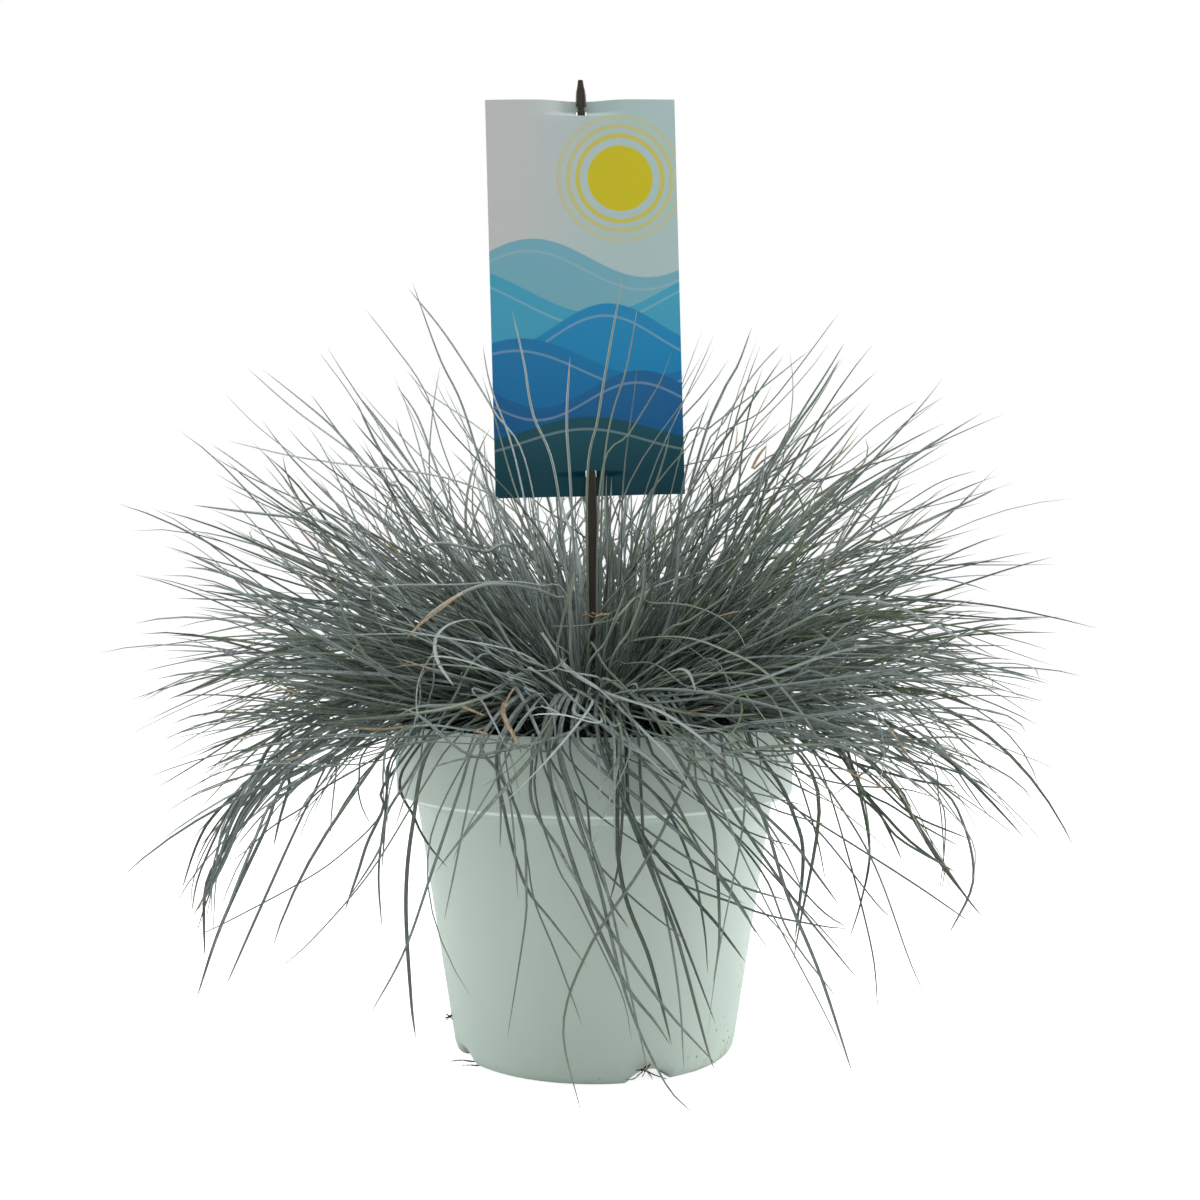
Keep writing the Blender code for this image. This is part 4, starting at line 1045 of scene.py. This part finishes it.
def corner_map(count, corners, first, leaves, columns):
    """A (u, v) place for each face corner of leaf_skin, so that no two faces share a spot.

    Each leaf has a column, the first leaf the one with the number first. In it the leaf's sides lie beside
    each other across u, with MAP_GAP of the column left free at both edges, and v goes from foot to tip.
    """
    ring, corner = np.meshgrid(np.arange(count - 1), np.arange(corners), indexing="ij")
    left, right = corner.ravel() / corners, (corner.ravel() + 1) / corners
    low, high = ring.ravel() + 1, ring.ravel() + 2
    quad_u = np.stack([left, right, right, left], axis=1)
    quad_v = np.stack([low, low, high, high], axis=1)
    side = np.arange(corners)
    middle, a, b = (side + 0.5) / corners, side / corners, (side + 1) / corners
    fan_u = np.concatenate([np.stack([middle, b, a], axis=1), np.stack([middle, a, b], axis=1)])
    fan_v = np.repeat([[0, 1, 1], [count + 1, count, count]], corners, axis=0)
    start = first + np.arange(leaves)[:, None]
    u = [(MAP_GAP + (1 - 2 * MAP_GAP) * part.ravel() + start) / columns for part in (quad_u, fan_u)]
    v = [np.broadcast_to(part.ravel() / (count + 1), (leaves, part.size)) for part in (quad_v, fan_v)]
    return np.stack([np.concatenate([part.ravel() for part in axis]) for axis in (u, v)], axis=1)


def give_values(piece, name, values):
    """Stores one number for each point of the piece's mesh."""
    layer = piece.data.attributes.new(name, "FLOAT", "POINT")
    layer.data.foreach_set("value", np.ascontiguousarray(values, np.float32).ravel())


def leaf_colour_group():
    """Node group for the colour of a leaf.

    Its tone picks a colour between the deep and the pale one, and some leaves are olive green. The wax lies
    in fine mottles and leaves the keel darker, and that dark keel green is also painted shade on hanging
    leaves. The foot is yellower and the tip tan. Where along + dry is more than 1, the leaf has died to
    straw.
    """
    group = bpy.data.node_groups.new("leaf_colour", "ShaderNodeTree")
    for name, kind in (("Deep", "Color"), ("Pale", "Color"), ("Wax", "Float")):
        group.interface.new_socket(name, in_out="INPUT", socket_type=f"NodeSocket{kind}")
    for name, kind in (("Colour", "Color"), ("Roughness", "Float"), ("Height", "Float")):
        group.interface.new_socket(name, in_out="OUTPUT", socket_type=f"NodeSocket{kind}")
    given, result = (add_node(group, f"NodeGroup{way}") for way in ("Input", "Output"))
    tone, along, dry, keel, olive = (
        add_node(group, "ShaderNodeAttribute", attribute_name=name).outputs["Fac"]
        for name in ("leaf_tone", "leaf_along", "leaf_dry", "leaf_keel_and_shade", "leaf_olive")
    )
    place = object_place(group)
    mottle = noise(group, place, 520, 4, 0.65)
    colour = blend(group, tone, given.outputs["Deep"], given.outputs["Pale"])
    waxy = product(group, ramp(group, mottle, 0.38, 0.66), given.outputs["Wax"])
    waxy = product(group, waxy, ramp(group, keel, 0.0, 1.0, 1.0, 0.15))
    colour = blend(group, waxy, colour, WAX)
    colour = blend(group, olive, colour, blend(group, mottle, OLIVE_DEEP, OLIVE_PALE))
    # Partly painted shade: the keel's own darker green, spread over hanging leaves as shade on their
    # undersides.
    colour = blend(group, ramp(group, keel, 0.35, 0.9, 0, 0.6), colour, KEEL_AND_SHADE_GREEN)
    colour = blend(group, ramp(group, along, 0.02, 0.20, 0.55, 0), colour, FOOT_YELLOW)
    colour = blend(group, ramp(group, along, 0.90, 1.0, 0, 0.35), colour, TIP_TAN)
    past = maths(group, "SUBTRACT", maths(group, "ADD", along, dry), 1.0)
    colour = blend(group, ramp(group, past, 0.0, 0.06), colour, blend(group, mottle, DEAD_DEEP, DEAD_PALE))
    group.links.new(colour, result.inputs["Colour"])
    group.links.new(ramp(group, mottle, 0.3, 0.7, 0.42, 0.62), result.inputs["Roughness"])
    group.links.new(mottle, result.inputs["Height"])
    return group


def leaf_material(name, group, deep, pale, wax):
    """A leaf's finish: the colour group with its own deep and pale colours and share of wax."""
    made, tree, shader = new_material(name)
    values = {"Deep": (*deep, 1), "Pale": (*pale, 1), "Wax": wax}
    look = add_node(tree, "ShaderNodeGroup", values, node_tree=group)
    coat(tree, shader, look.outputs["Colour"], look.outputs["Roughness"])
    bump(tree, shader, look.outputs["Height"], 0.03 * MM, 0.6)
    return made


def leaf_values(line, hang_shade_share):
    """How far along the leaf each point of leaf_skin is, and how much of the unwaxed keel side it shows.

    At the keel that is all of it. Where the leaf hangs down, the other points show more of it too, by the
    given share: painted shade for the shaded underside that a hanging leaf shows.
    """
    leaves, count = line.shape[:2]
    fall = -unit(np.gradient(line, axis=1))[..., 2]
    # Painted shade: points of a hanging leaf take more of the dark keel colour.
    hang = (hang_shade_share[:, None] * smooth((fall - HANG_SHADE_START) / (1 - HANG_SHADE_START)))[:, :-1, None]
    keel = np.array(KEEL_SHOWN)
    keel = (keel + (1 - keel) * hang).reshape(leaves, 4 * count - 4)
    ring_along = np.repeat(np.linspace(0, 1, count)[:-1], 4)
    along = np.broadcast_to(np.concatenate([ring_along, [0, 1]]), (leaves, 4 * count - 2))
    return along, np.concatenate([keel, np.full((leaves, 2), KEEL_AT_ENDS)], axis=1)


def make_leaves(index, chance):
    """One tuft's leaves in place of its plain solid: its own, and the single leaves that start nearest to it.

    Each leaf draws its width, tone, dry end and share of olive. Single leaves are never dry or olive. Those
    that hang over the rim are deep in tone, as painted shade for their shaded undersides, and the others
    pale.
    """
    own = seen_tuft == index
    groups = [leaf_lines(index, chance), (seen_line[own], seen_way[own])]
    crown_leaves = len(groups[0][0])
    leaves = crown_leaves + np.count_nonzero(own)
    seen = np.arange(leaves) >= crown_leaves
    arching = np.concatenate([np.full(crown_leaves, False), seen_arching[own]])
    low_end = np.concatenate([np.full(crown_leaves, False), seen_line[own][:, -1, 2] < POT_HEIGHT])
    hanging = low_end & ~arching
    broad = np.where(chance.random(leaves) < BROAD_SHARE, BROAD_TIMES, 1.0)
    half_width = LEAF_HALF_WIDTH * (WIDTHS[0] + WIDTHS[1] * chance.random(leaves)) * broad
    wider = np.where(arching, CROWN_WIDER, np.where(hanging, HANGING_WIDER, SEEN_WIDER))
    wider = wider * (SEEN_WIDTHS[0] + SEEN_WIDTHS[1] * chance.random(leaves))
    half_width = np.where(seen, LEAF_HALF_WIDTH * wider, half_width)
    tone = chance.beta(*TONE_SHAPE, leaves)
    # Painted shade: hanging single leaves get a darker tone.
    seen_tone = np.where(hanging, HANGING_SHADE_TONE * tone, SEEN_TONES[0] + SEEN_TONES[1] * tone)
    tone = np.where(seen, seen_tone, tone)
    dry = np.where(chance.random(leaves) < DRY_SHARE, DRY_MOST * chance.random(leaves) ** 2, 0)
    dry = np.where(chance.random(leaves) < DEAD_SHARE, DEAD, dry) * ~seen
    is_olive = chance.random(leaves) < OLIVE_SHARE
    olive = np.where(is_olive, OLIVES[0] + OLIVES[1] * chance.random(leaves), 0) * ~seen

    points, faces, places, alongs, keel_and_shade_values, sizes = [], [], [], [], [], []
    for first, taper, (line, way) in zip((0, crown_leaves), (LEAF_TAPER, SEEN_TAPER), groups):
        some = slice(first, first + len(line))
        skin_points, skin_faces = leaf_skin(line, way, half_width[some], taper, chance)
        faces += [part + sum(map(len, points)) for part in skin_faces]
        points.append(skin_points)
        places.append(corner_map(line.shape[1] - 1, 4, first, len(line), leaves))
        along, keel = leaf_values(line, np.where(arching[some], 0, HANG_SHADE_SHARE))
        alongs.append(along.ravel())
        keel_and_shade_values.append(keel.ravel())
        sizes.append(np.full(len(line), along.shape[1]))
    slot, material = leaf_finishes[index % len(leaf_finishes)]
    node = f"leaf_tuft_{index + 1:02d}"
    piece = piece_from(f"leaves_{index + 1:02d}", np.concatenate(points), faces, material, slot, node)
    sizes = np.concatenate(sizes)
    give_values(piece, "leaf_along", np.concatenate(alongs))
    give_values(piece, "leaf_keel_and_shade", np.concatenate(keel_and_shade_values))
    for name, values in (("leaf_tone", tone), ("leaf_dry", dry), ("leaf_olive", olive)):
        give_values(piece, name, np.repeat(values, sizes))
    layer = piece.data.uv_layers.new(name=BAKE_MAP)
    layer.uv.foreach_set("vector", np.ascontiguousarray(np.concatenate(places), np.float32).ravel())
    return piece


leaf_colour = leaf_colour_group()
leaf_finishes = [
    (slot, leaf_material(name, leaf_colour, deep, pale, wax)) for slot, name, deep, pale, wax in LEAF_FINISHES
]
seen_line, seen_way, seen_tuft = seen_lines()
seen_arching = np.arange(len(seen_line)) >= len(SEEN_LEAVES)
for tuft in range(TUFT_COUNT):
    make_leaves(tuft, np.random.default_rng((LEAF_SEED, tuft)))

# ------------------------------------------------------------------------------------------------------------
# Dry bits: last year's sheaths and the ends of old leaves, died back to brittle straw. They are still held in
# the crown, and a broad split sheath lies over the rim in front.
# ------------------------------------------------------------------------------------------------------------

STRAW_RINGS = 12
STRAW_NEARER = 7 * MM
STRAW_DEEP = (0.36, 0.265, 0.155)
STRAW_PALE = (0.64, 0.51, 0.34)
STRAW_BROWN = (0.38, 0.22, 0.115)

# Each straw's half width in millimetres, then its depths and places as for the single leaves.
SEEN_STRAWS = (
    (1.15, (-80, -90), ((505, 703), (502, 711), (506, 723), (512, 734), (517, 743), (521, 754))),
    (0.40, (-70, -84), ((514, 688), (509, 696), (505, 704), (503, 711))),
    (0.68, (-86, -94), ((462, 594), (455, 598), (444, 606), (433, 614), (422, 622), (412, 632), (406, 639))),
    (0.55, (-78, -82), ((463, 707), (474, 711), (486, 716))),
    (0.50, (-80, -84), ((471, 730), (481, 732), (489, 734))),
    (0.60, (-66, -76), ((676, 711), (695, 711), (714, 706))),
    (0.55, (-44, -38), ((767, 608), (784, 606), (801, 608))),
    (0.45, (-40, -34), ((719, 616), (737, 612), (755, 610))),
    (0.55, (-24, -20), ((639, 600), (647, 593), (656, 590))),
    (0.50, (-30, -32), ((583, 616), (592, 613), (601, 615), (612, 613))),
    (0.40, (-32, -32), ((584, 612), (594, 617), (604, 612))),
    (0.50, (-60, -66), ((287, 760), (298, 757), (306, 752))),
    (0.45, (-66, -70), ((276, 689), (287, 690), (299, 694))),
    (0.50, (-74, -60), ((356, 728), (385, 729), (415, 725))),
    (0.60, (-20, -18), ((752, 468), (759, 455), (767, 445))),
    (0.45, (-10, -8), ((754, 469), (764, 460), (776, 453))),
    (0.45, (-14, -12), ((861, 508), (869, 502), (878, 496))),
    (0.45, (-30, -32), ((948, 724), (956, 725), (963, 727))),
    (0.50, (-62, -66), ((771, 752), (775, 757), (778, 763))),
)


def straw_material():
    """Dead grass: brittle tan straw with fine fibres along it, browner in patches."""
    made, tree, shader = new_material("dead_straw")
    place = object_place(tree)
    fibres = noise(tree, place, 1500, 3, 0.6)
    patches = noise(tree, place, 160, 3)
    colour = blend(tree, ramp(tree, fibres, 0.35, 0.65), STRAW_DEEP, STRAW_PALE)
    colour = blend(tree, ramp(tree, patches, 0.50, 0.66, 0, 0.7), colour, STRAW_BROWN)
    coat(tree, shader, colour, ramp(tree, fibres, 0.3, 0.7, 0.55, 0.75))
    bump(tree, shader, fibres, 0.05 * MM)
    return made


def make_straws(chance):
    """Each straw is a folded strip like a leaf, along the smooth curve through its seen places."""
    lines, half_widths = [], []
    for half_width, depths, pixels in SEEN_STRAWS:
        lines.append(through(seen_places(depths, pixels, STRAW_NEARER), STRAW_RINGS))
        half_widths.append(half_width * MM)
    lines = np.array(lines)
    ways = np.full(lines.shape[:2], -math.pi / 2)
    points, faces = leaf_skin(lines, ways, np.array(half_widths), LEAF_TAPER, chance)
    return piece_from("dry_straws", points, faces, straw_material(), "leaf_green_grey")


make_straws(np.random.default_rng(17))

# ------------------------------------------------------------------------------------------------------------
# Stake: a dark brown moulded spike with an arrow-shaped cap and a neck that holds the card. It is pushed
# through the crown into the soil and leans a little to the left.
# ------------------------------------------------------------------------------------------------------------

STAKE_TIP = 410.2 * MM
STAKE_END = 58 * MM
STAKE_DEPTH = 0.7
STAKE_SQUARENESS = 0.75
STAKE_COLUMNS = 24
STAKE_DEEP = (0.018, 0.013, 0.008)
STAKE_PALE = (0.050, 0.036, 0.023)


def stake_middle(height):
    """The leaning axis of the stake: x goes to the left by the height times tan(lean)."""
    height = np.asarray(height, float)
    return np.stack([STAKE_FOOT_X - height * math.tan(STAKE_LEAN), 0 * height, height], axis=-1)


def stake_rings():
    """Rings up from the stake's end: a rounded square as wide as the outline at each height, and less deep.

    Its corners are cos and sin of the turn to the power STAKE_SQUARENESS, with their signs kept.
    """
    outline = rounded_line(
        (
            (0.4 * MM, STAKE_END + 1 * MM, 0),
            (1.7 * MM, STAKE_END + 22 * MM, 2 * MM),
            (2.4 * MM, STAKE_TIP - 225 * MM, 2 * MM),
            (2.4 * MM, STAKE_TIP - 180 * MM, 2 * MM),
            (1.9 * MM, STAKE_TIP - 166 * MM, 2 * MM),
            (2.1 * MM, STAKE_TIP - 24 * MM, 2 * MM),
            (1.5 * MM, STAKE_TIP - 17 * MM, 2 * MM),
            (1.7 * MM, STAKE_TIP - 13.5 * MM, 0.2 * MM),
            (1.4 * MM, STAKE_TIP - 13.2 * MM, 0.2 * MM),
            (1.5 * MM, STAKE_TIP - 11.7 * MM, 0.3 * MM),
            (2.3 * MM, STAKE_TIP - 11.3 * MM, 0.3 * MM),
            (2.1 * MM, STAKE_TIP - 5.9 * MM, 1.5 * MM),
            (1.3 * MM, STAKE_TIP - 2.3 * MM, 0.8 * MM),
            (1.1 * MM, STAKE_TIP - 0.3 * MM, 0.3 * MM),
            (0.5 * MM, STAKE_TIP - 0.1 * MM, 0),
        ),
        steps=5,
        reach=6 * MM,
    )
    half, height = outline.T
    turn = 2 * math.pi * np.arange(STAKE_COLUMNS) / STAKE_COLUMNS
    square = [np.sign(wave) * np.abs(wave) ** STAKE_SQUARENESS for wave in (np.cos(turn), np.sin(turn))]
    flat = np.stack([square[0], STAKE_DEPTH * square[1], 0 * turn], axis=1)
    return stake_middle(height)[:, None] + half[:, None, None] * flat


def stake_material():
    """Dark brown plastic: satin, with fine scratches along it."""
    made, tree, shader = new_material("dark_brown_plastic")
    place = object_place(tree)
    scratches = noise(tree, stretched(tree, place, (1, 1, 0.06)), 1600, 3, 0.6)
    colour = blend(tree, noise(tree, place, 120), STAKE_DEEP, STAKE_PALE)
    coat(tree, shader, colour, ramp(tree, scratches, 0.3, 0.7, 0.30, 0.48))
    bump(tree, shader, scratches, 0.05 * MM, 0.5)
    return made


ends = [stake_middle([height]) for height in (STAKE_END, STAKE_TIP)]
piece_from("stake_spike", *skin(stake_rings()[None], *ends), stake_material(), "stake_plastic", "stake")

# ------------------------------------------------------------------------------------------------------------
# Hang card: a half-millimetre sheet of printed plastic, threaded on the stake through a slot near each end.
# Its print is a plain pattern of layered hills and a sun disc.
# ------------------------------------------------------------------------------------------------------------

CARD_HEIGHT = 168 * MM
CARD_THICKNESS = 0.5 * MM
CARD_FORWARD = 2.35 * MM
CARD_BOW = 1.2 * MM
CARD_ASIDE = 0.3 * MM
SLOT_HALF_WIDTH = 2.25 * MM
SLOT_HEIGHT = 2.6 * MM
LOW_SLOT = 8.2 * MM
TOP_SLOT = 161 * MM
TAB_FADE = 10 * MM
CARD_COLUMNS = 41
CARD_ROWS = 40
SLOT_ROWS = 6
SHARP_EDGE = math.radians(40)

# On the print's flat the front takes FRONT_SHARE of u, the back starts at BACK_START, with the edge between.
FRONT_SHARE = 0.49
BACK_START = 0.51
EDGE_BAND = (0.492, 0.498)
GROUND_GREY = (0.66, 0.68, 0.66)
GROUND_AQUA = (0.50, 0.67, 0.66)
BACK_WHITE = (0.60, 0.62, 0.61)
SUN_MIDDLE = (0.70, 0.80)
SUN_RADIUS = 0.170
SUN_YELLOW = (0.72, 0.62, 0.02)
RING_YELLOW = (0.72, 0.63, 0.06)
SUN_RINGS = ((0.225, 0.9), (0.275, 0.6), (0.325, 0.35))

# Hills from the back to the front: level, swing, waves across, phase, and colour.
HILLS = (
    (0.600, 0.050, 5.2, 0.4, (0.22, 0.50, 0.60)),
    (0.520, 0.060, 4.3, 2.3, (0.07, 0.42, 0.62)),
    (0.430, 0.055, 5.6, 4.4, (0.012, 0.28, 0.58)),
    (0.350, 0.050, 4.6, 0.9, (0.006, 0.20, 0.48)),
    (0.270, 0.045, 6.0, 3.2, (0.004, 0.13, 0.36)),
    (0.170, 0.030, 4.9, 5.4, (0.002, 0.066, 0.095)),
)
HILL_FADE = 0.16
HILL_WASH = (0.03, 0.11, 0.14)
CREST_PALE = (0.50, 0.62, 0.64)
CREST_DROP = 0.028
CREST_WIDTH = 0.006
CREST_LEAD = 0.12


def card_points(across, up, out):
    """Points of the card from their place across and up the flat sheet, and out from its middle surface.

    Between the slots the card runs in front of the stake. The tabs past the slots bend back behind it, by a
    step along the height that fades sideways as a bell curve, and the card bows forward in its middle by a
    parabola.
    """
    low_tab = 1 - smooth((up - LOW_SLOT) / SLOT_HEIGHT)
    top_tab = smooth((up - TOP_SLOT) / SLOT_HEIGHT)
    sideways = np.maximum(np.abs(across) - SLOT_HALF_WIDTH, 0) / TAB_FADE
    behind = np.maximum(low_tab, top_tab) * np.exp(-(sideways**2))
    back = CARD_FORWARD * (2 * behind - 1) + CARD_BOW * (2 * across / CARD_WIDTH) ** 2 - out
    right = np.array([math.cos(CARD_YAW), math.sin(CARD_YAW), math.tan(STAKE_LEAN)])
    rise = np.array([-math.sin(STAKE_LEAN), 0, math.cos(STAKE_LEAN)])
    place = stake_middle(CARD_BOTTOM) + across[..., None] * right + up[..., None] * rise
    return place + back[..., None] * np.array([0, 1, 0])


def make_card(material):
    """A front and a back grid with the slots' cells left out, joined by a band of quads round every edge."""
    plain_columns = np.linspace(-CARD_WIDTH / 2, CARD_WIDTH / 2, CARD_COLUMNS) - CARD_ASIDE
    across = np.unique(np.concatenate([plain_columns, (-SLOT_HALF_WIDTH, SLOT_HALF_WIDTH)]))
    slot_rows = [low + SLOT_HEIGHT * np.linspace(0, 1, SLOT_ROWS) for low in (LOW_SLOT, TOP_SLOT)]
    plain_rows = np.linspace(LOW_SLOT + SLOT_HEIGHT, TOP_SLOT, CARD_ROWS)
    up = np.unique(np.concatenate([[0, LOW_SLOT / 2, CARD_HEIGHT], plain_rows, *slot_rows]).round(9))
    u, v = np.meshgrid(across, up)
    sheets = [card_points(u, v, way * CARD_THICKNESS / 2) for way in (1, -1)]
    points = np.concatenate([sheet.reshape(-1, 3) for sheet in sheets])
    rows, columns = u.shape
    middle_u, middle_v = (across[1:] + across[:-1]) / 2, (up[1:] + up[:-1]) / 2
    in_slot_row = [(middle_v > low) & (middle_v < low + SLOT_HEIGHT) for low in (LOW_SLOT, TOP_SLOT)]
    kept = ~(np.logical_or(*in_slot_row)[:, None] & (np.abs(middle_u) < SLOT_HALF_WIDTH)[None])
    row, column = np.nonzero(kept)
    here = row * columns + column
    front = np.stack([here, here + 1, here + columns + 1, here + columns], axis=1)
    back = front[:, ::-1] + rows * columns
    sides = np.concatenate([front[:, [k, (k + 1) % 4]] for k in range(4)])
    known = {tuple(pair) for pair in sides.tolist()}
    rim = np.array([pair for pair in known if pair[::-1] not in known])
    rim = rim[np.lexsort((rim[:, 1], rim[:, 0]))]
    band = np.stack([rim[:, 1], rim[:, 0], rim[:, 0] + rows * columns, rim[:, 1] + rows * columns], axis=1)
    piece = piece_from("label_sheet", points, [front, back, band], material, "label_card", "plant_label")
    flat = np.stack([(u + CARD_ASIDE) / CARD_WIDTH + 0.5, v / CARD_HEIGHT], axis=-1).reshape(-1, 2)
    flat = np.concatenate([flat * (FRONT_SHARE, 1), flat * (FRONT_SHARE, 1) + (BACK_START, 0)])
    corners = np.concatenate([front.ravel(), back.ravel(), band.ravel()])
    uv = flat[corners]
    uv[front.size + back.size :, 0] = np.tile(np.repeat(EDGE_BAND, 2), len(band))
    piece.data.uv_layers.new(name=BAKE_MAP).uv.foreach_set("vector", uv.astype(np.float32).ravel())
    piece.data.set_sharp_from_angle(angle=SHARP_EDGE)
    return piece


def wave_edge(tree, across, up, level, swing, waves, phase):
    """1 below a wavy line and 0 above it: the line's height is level + swing sin(waves x + phase)."""
    angle = maths(tree, "ADD", product(tree, across, waves), phase)
    line = maths(tree, "ADD", product(tree, maths(tree, "SINE", angle), swing), level)
    return ramp(tree, maths(tree, "SUBTRACT", line, up), -0.002, 0.002)


def card_print():
    """Glossy print on the front: a yellow sun disc with rings over layered blue hills, down to dark teal."""
    made, tree, shader = new_material("printed_card")
    flat = add_node(tree, "ShaderNodeUVMap", uv_map=BAKE_MAP).outputs[0]
    parts = add_node(tree, "ShaderNodeSeparateXYZ", {0: flat})
    u, up = parts.outputs["X"], parts.outputs["Y"]
    across = product(tree, u, 1 / FRONT_SHARE)
    ground = blend(tree, ramp(tree, across, 0.0, 0.8), GROUND_GREY, GROUND_AQUA)

    off_x = maths(tree, "SUBTRACT", across, SUN_MIDDLE[0])
    off_y = product(tree, maths(tree, "SUBTRACT", up, SUN_MIDDLE[1]), CARD_HEIGHT / CARD_WIDTH)
    squares = maths(tree, "ADD", product(tree, off_x, off_x), product(tree, off_y, off_y))
    reach = maths(tree, "SQRT", squares)
    colour = blend(tree, ramp(tree, reach, SUN_RADIUS, SUN_RADIUS + 0.005, 1, 0), ground, SUN_YELLOW)
    for radius, strength in SUN_RINGS:
        gap = maths(tree, "ABSOLUTE", maths(tree, "SUBTRACT", reach, radius))
        colour = blend(tree, ramp(tree, gap, 0.009, 0.014, strength, 0), colour, RING_YELLOW)

    for level, swing, waves, phase, paint in HILLS:
        shade = product(tree, ramp(tree, up, level - HILL_FADE, level + swing, 0, 1), 0.35)
        lit = blend(tree, shade, paint, tuple(0.8 * part + wash for part, wash in zip(paint, HILL_WASH)))
        colour = blend(tree, wave_edge(tree, across, up, level, swing, waves, phase), colour, lit)
        crest, under = (
            wave_edge(tree, across, up, level - drop, swing, waves, phase + CREST_LEAD)
            for drop in (CREST_DROP, CREST_DROP + CREST_WIDTH)
        )
        line = product(tree, maths(tree, "SUBTRACT", crest, under), 0.35)
        colour = blend(tree, line, colour, CREST_PALE)

    on_front = ramp(tree, u, FRONT_SHARE - 0.0005, FRONT_SHARE + 0.0005, 1, 0)
    colour = blend(tree, on_front, BACK_WHITE, colour)
    handled = noise(tree, object_place(tree), 60, 4, 0.6)
    coat(tree, shader, colour, ramp(tree, handled, 0.3, 0.7, 0.36, 0.50))
    shader.inputs["Specular IOR Level"].default_value = 0.3
    bump(tree, shader, handled, 0.15 * MM, 0.35)
    return made


make_card(card_print())

# ------------------------------------------------------------------------------------------------------------
# Setting: a white floor and backdrop, wide soft lights behind the sides and overhead, and the camera of the
# photograph, a little above the pot's rim and straight in front.
# ------------------------------------------------------------------------------------------------------------

FLOOR_SIZE = 12.0
FLOOR_WHITE = (0.80, 0.80, 0.80, 1)
FLOOR_GLOW = 0.10
FLOOR_GLOW_SEEN = 0.80
WORLD_LIGHT = 0.30
WORLD_SEEN = 1.0
SENSOR_WIDTH = 36.0
CLUMP_MIDDLE = (0, 0, 170 * MM)

# Name, place, width, height and watts of each lamp.
LIGHTS = (
    ("left_softbox", (-1.25, 0.25, 0.45), 1.1, 1.3, 14.0),
    ("right_softbox", (1.25, 0.22, 0.45), 1.1, 1.3, 19.5),
    ("top_softbox", (0.0, 0.10, 1.5), 1.6, 1.2, 11.0),
    ("front_softbox", (-0.2, -1.7, 1.0), 1.6, 1.0, 2.4),
)


def by_ray(tree, as_light, as_seen):
    """A strength that is as_seen to the camera and as_light to everything that it lights."""
    seen = add_node(tree, "ShaderNodeLightPath").outputs["Is Camera Ray"]
    return ramp(tree, seen, 0, 1, as_light, as_seen)


def make_floor():
    """A wide white floor that looks evenly white to the camera, and glows only a little for the pot."""
    material, tree, shader = new_material("white_floor")
    shader.inputs["Base Color"].default_value = FLOOR_WHITE
    shader.inputs["Roughness"].default_value = 0.9
    shader.inputs["Emission Color"].default_value = (1, 1, 1, 1)
    tree.links.new(by_ray(tree, FLOOR_GLOW, FLOOR_GLOW_SEEN), shader.inputs["Emission Strength"])
    half = FLOOR_SIZE / 2
    corners = [(-half, -half, 0), (half, -half, 0), (half, half, 0), (-half, half, 0)]
    mesh = bpy.data.meshes.new("floor")
    mesh.from_pydata(corners, [], [(0, 1, 2, 3)])
    mesh.materials.append(material)
    put("floor", mesh)


def make_world():
    """Plain white for the camera, and a dimmer, even white as light."""
    world = bpy.data.worlds.new("white_studio")
    world.use_nodes = True
    tree = world.node_tree
    background = tree.nodes["Background"]
    background.inputs["Color"].default_value = (1, 1, 1, 1)
    tree.links.new(by_ray(tree, WORLD_LIGHT, WORLD_SEEN), background.inputs["Strength"])
    bpy.context.scene.world = world


def make_lights():
    """Rectangular area lights aimed at the middle of the clump."""
    for name, place, width, height, power in LIGHTS:
        lamp = bpy.data.lights.new(name, "AREA")
        lamp.shape = "RECTANGLE"
        lamp.size, lamp.size_y, lamp.energy = width, height, power
        made = put(name, lamp)
        made.location = place
        x, y, z = np.array(CLUMP_MIDDLE) - place
        made.rotation_euler = (math.atan2(math.hypot(x, y), -z), 0, math.atan2(-x, y))


def make_camera():
    """A level camera, with its focal length from the photograph's scale and its shift from the middle."""
    lens = bpy.data.cameras.new("camera")
    lens.lens = SENSOR_WIDTH * PHOTO_SCALE / PHOTO_SIZE
    lens.sensor_width = SENSOR_WIDTH
    lens.sensor_fit = "HORIZONTAL"
    lens.shift_y = PHOTO_MIDDLE[1] / PHOTO_SIZE - 0.5
    camera = put("camera", lens)
    camera.location = CAMERA_PLACE
    camera.rotation_euler = (math.pi / 2, 0, 0)
    bpy.context.scene.camera = camera


make_floor()
make_world()
make_lights()
make_camera()
bpy.context.scene.view_settings.view_transform = "Standard"
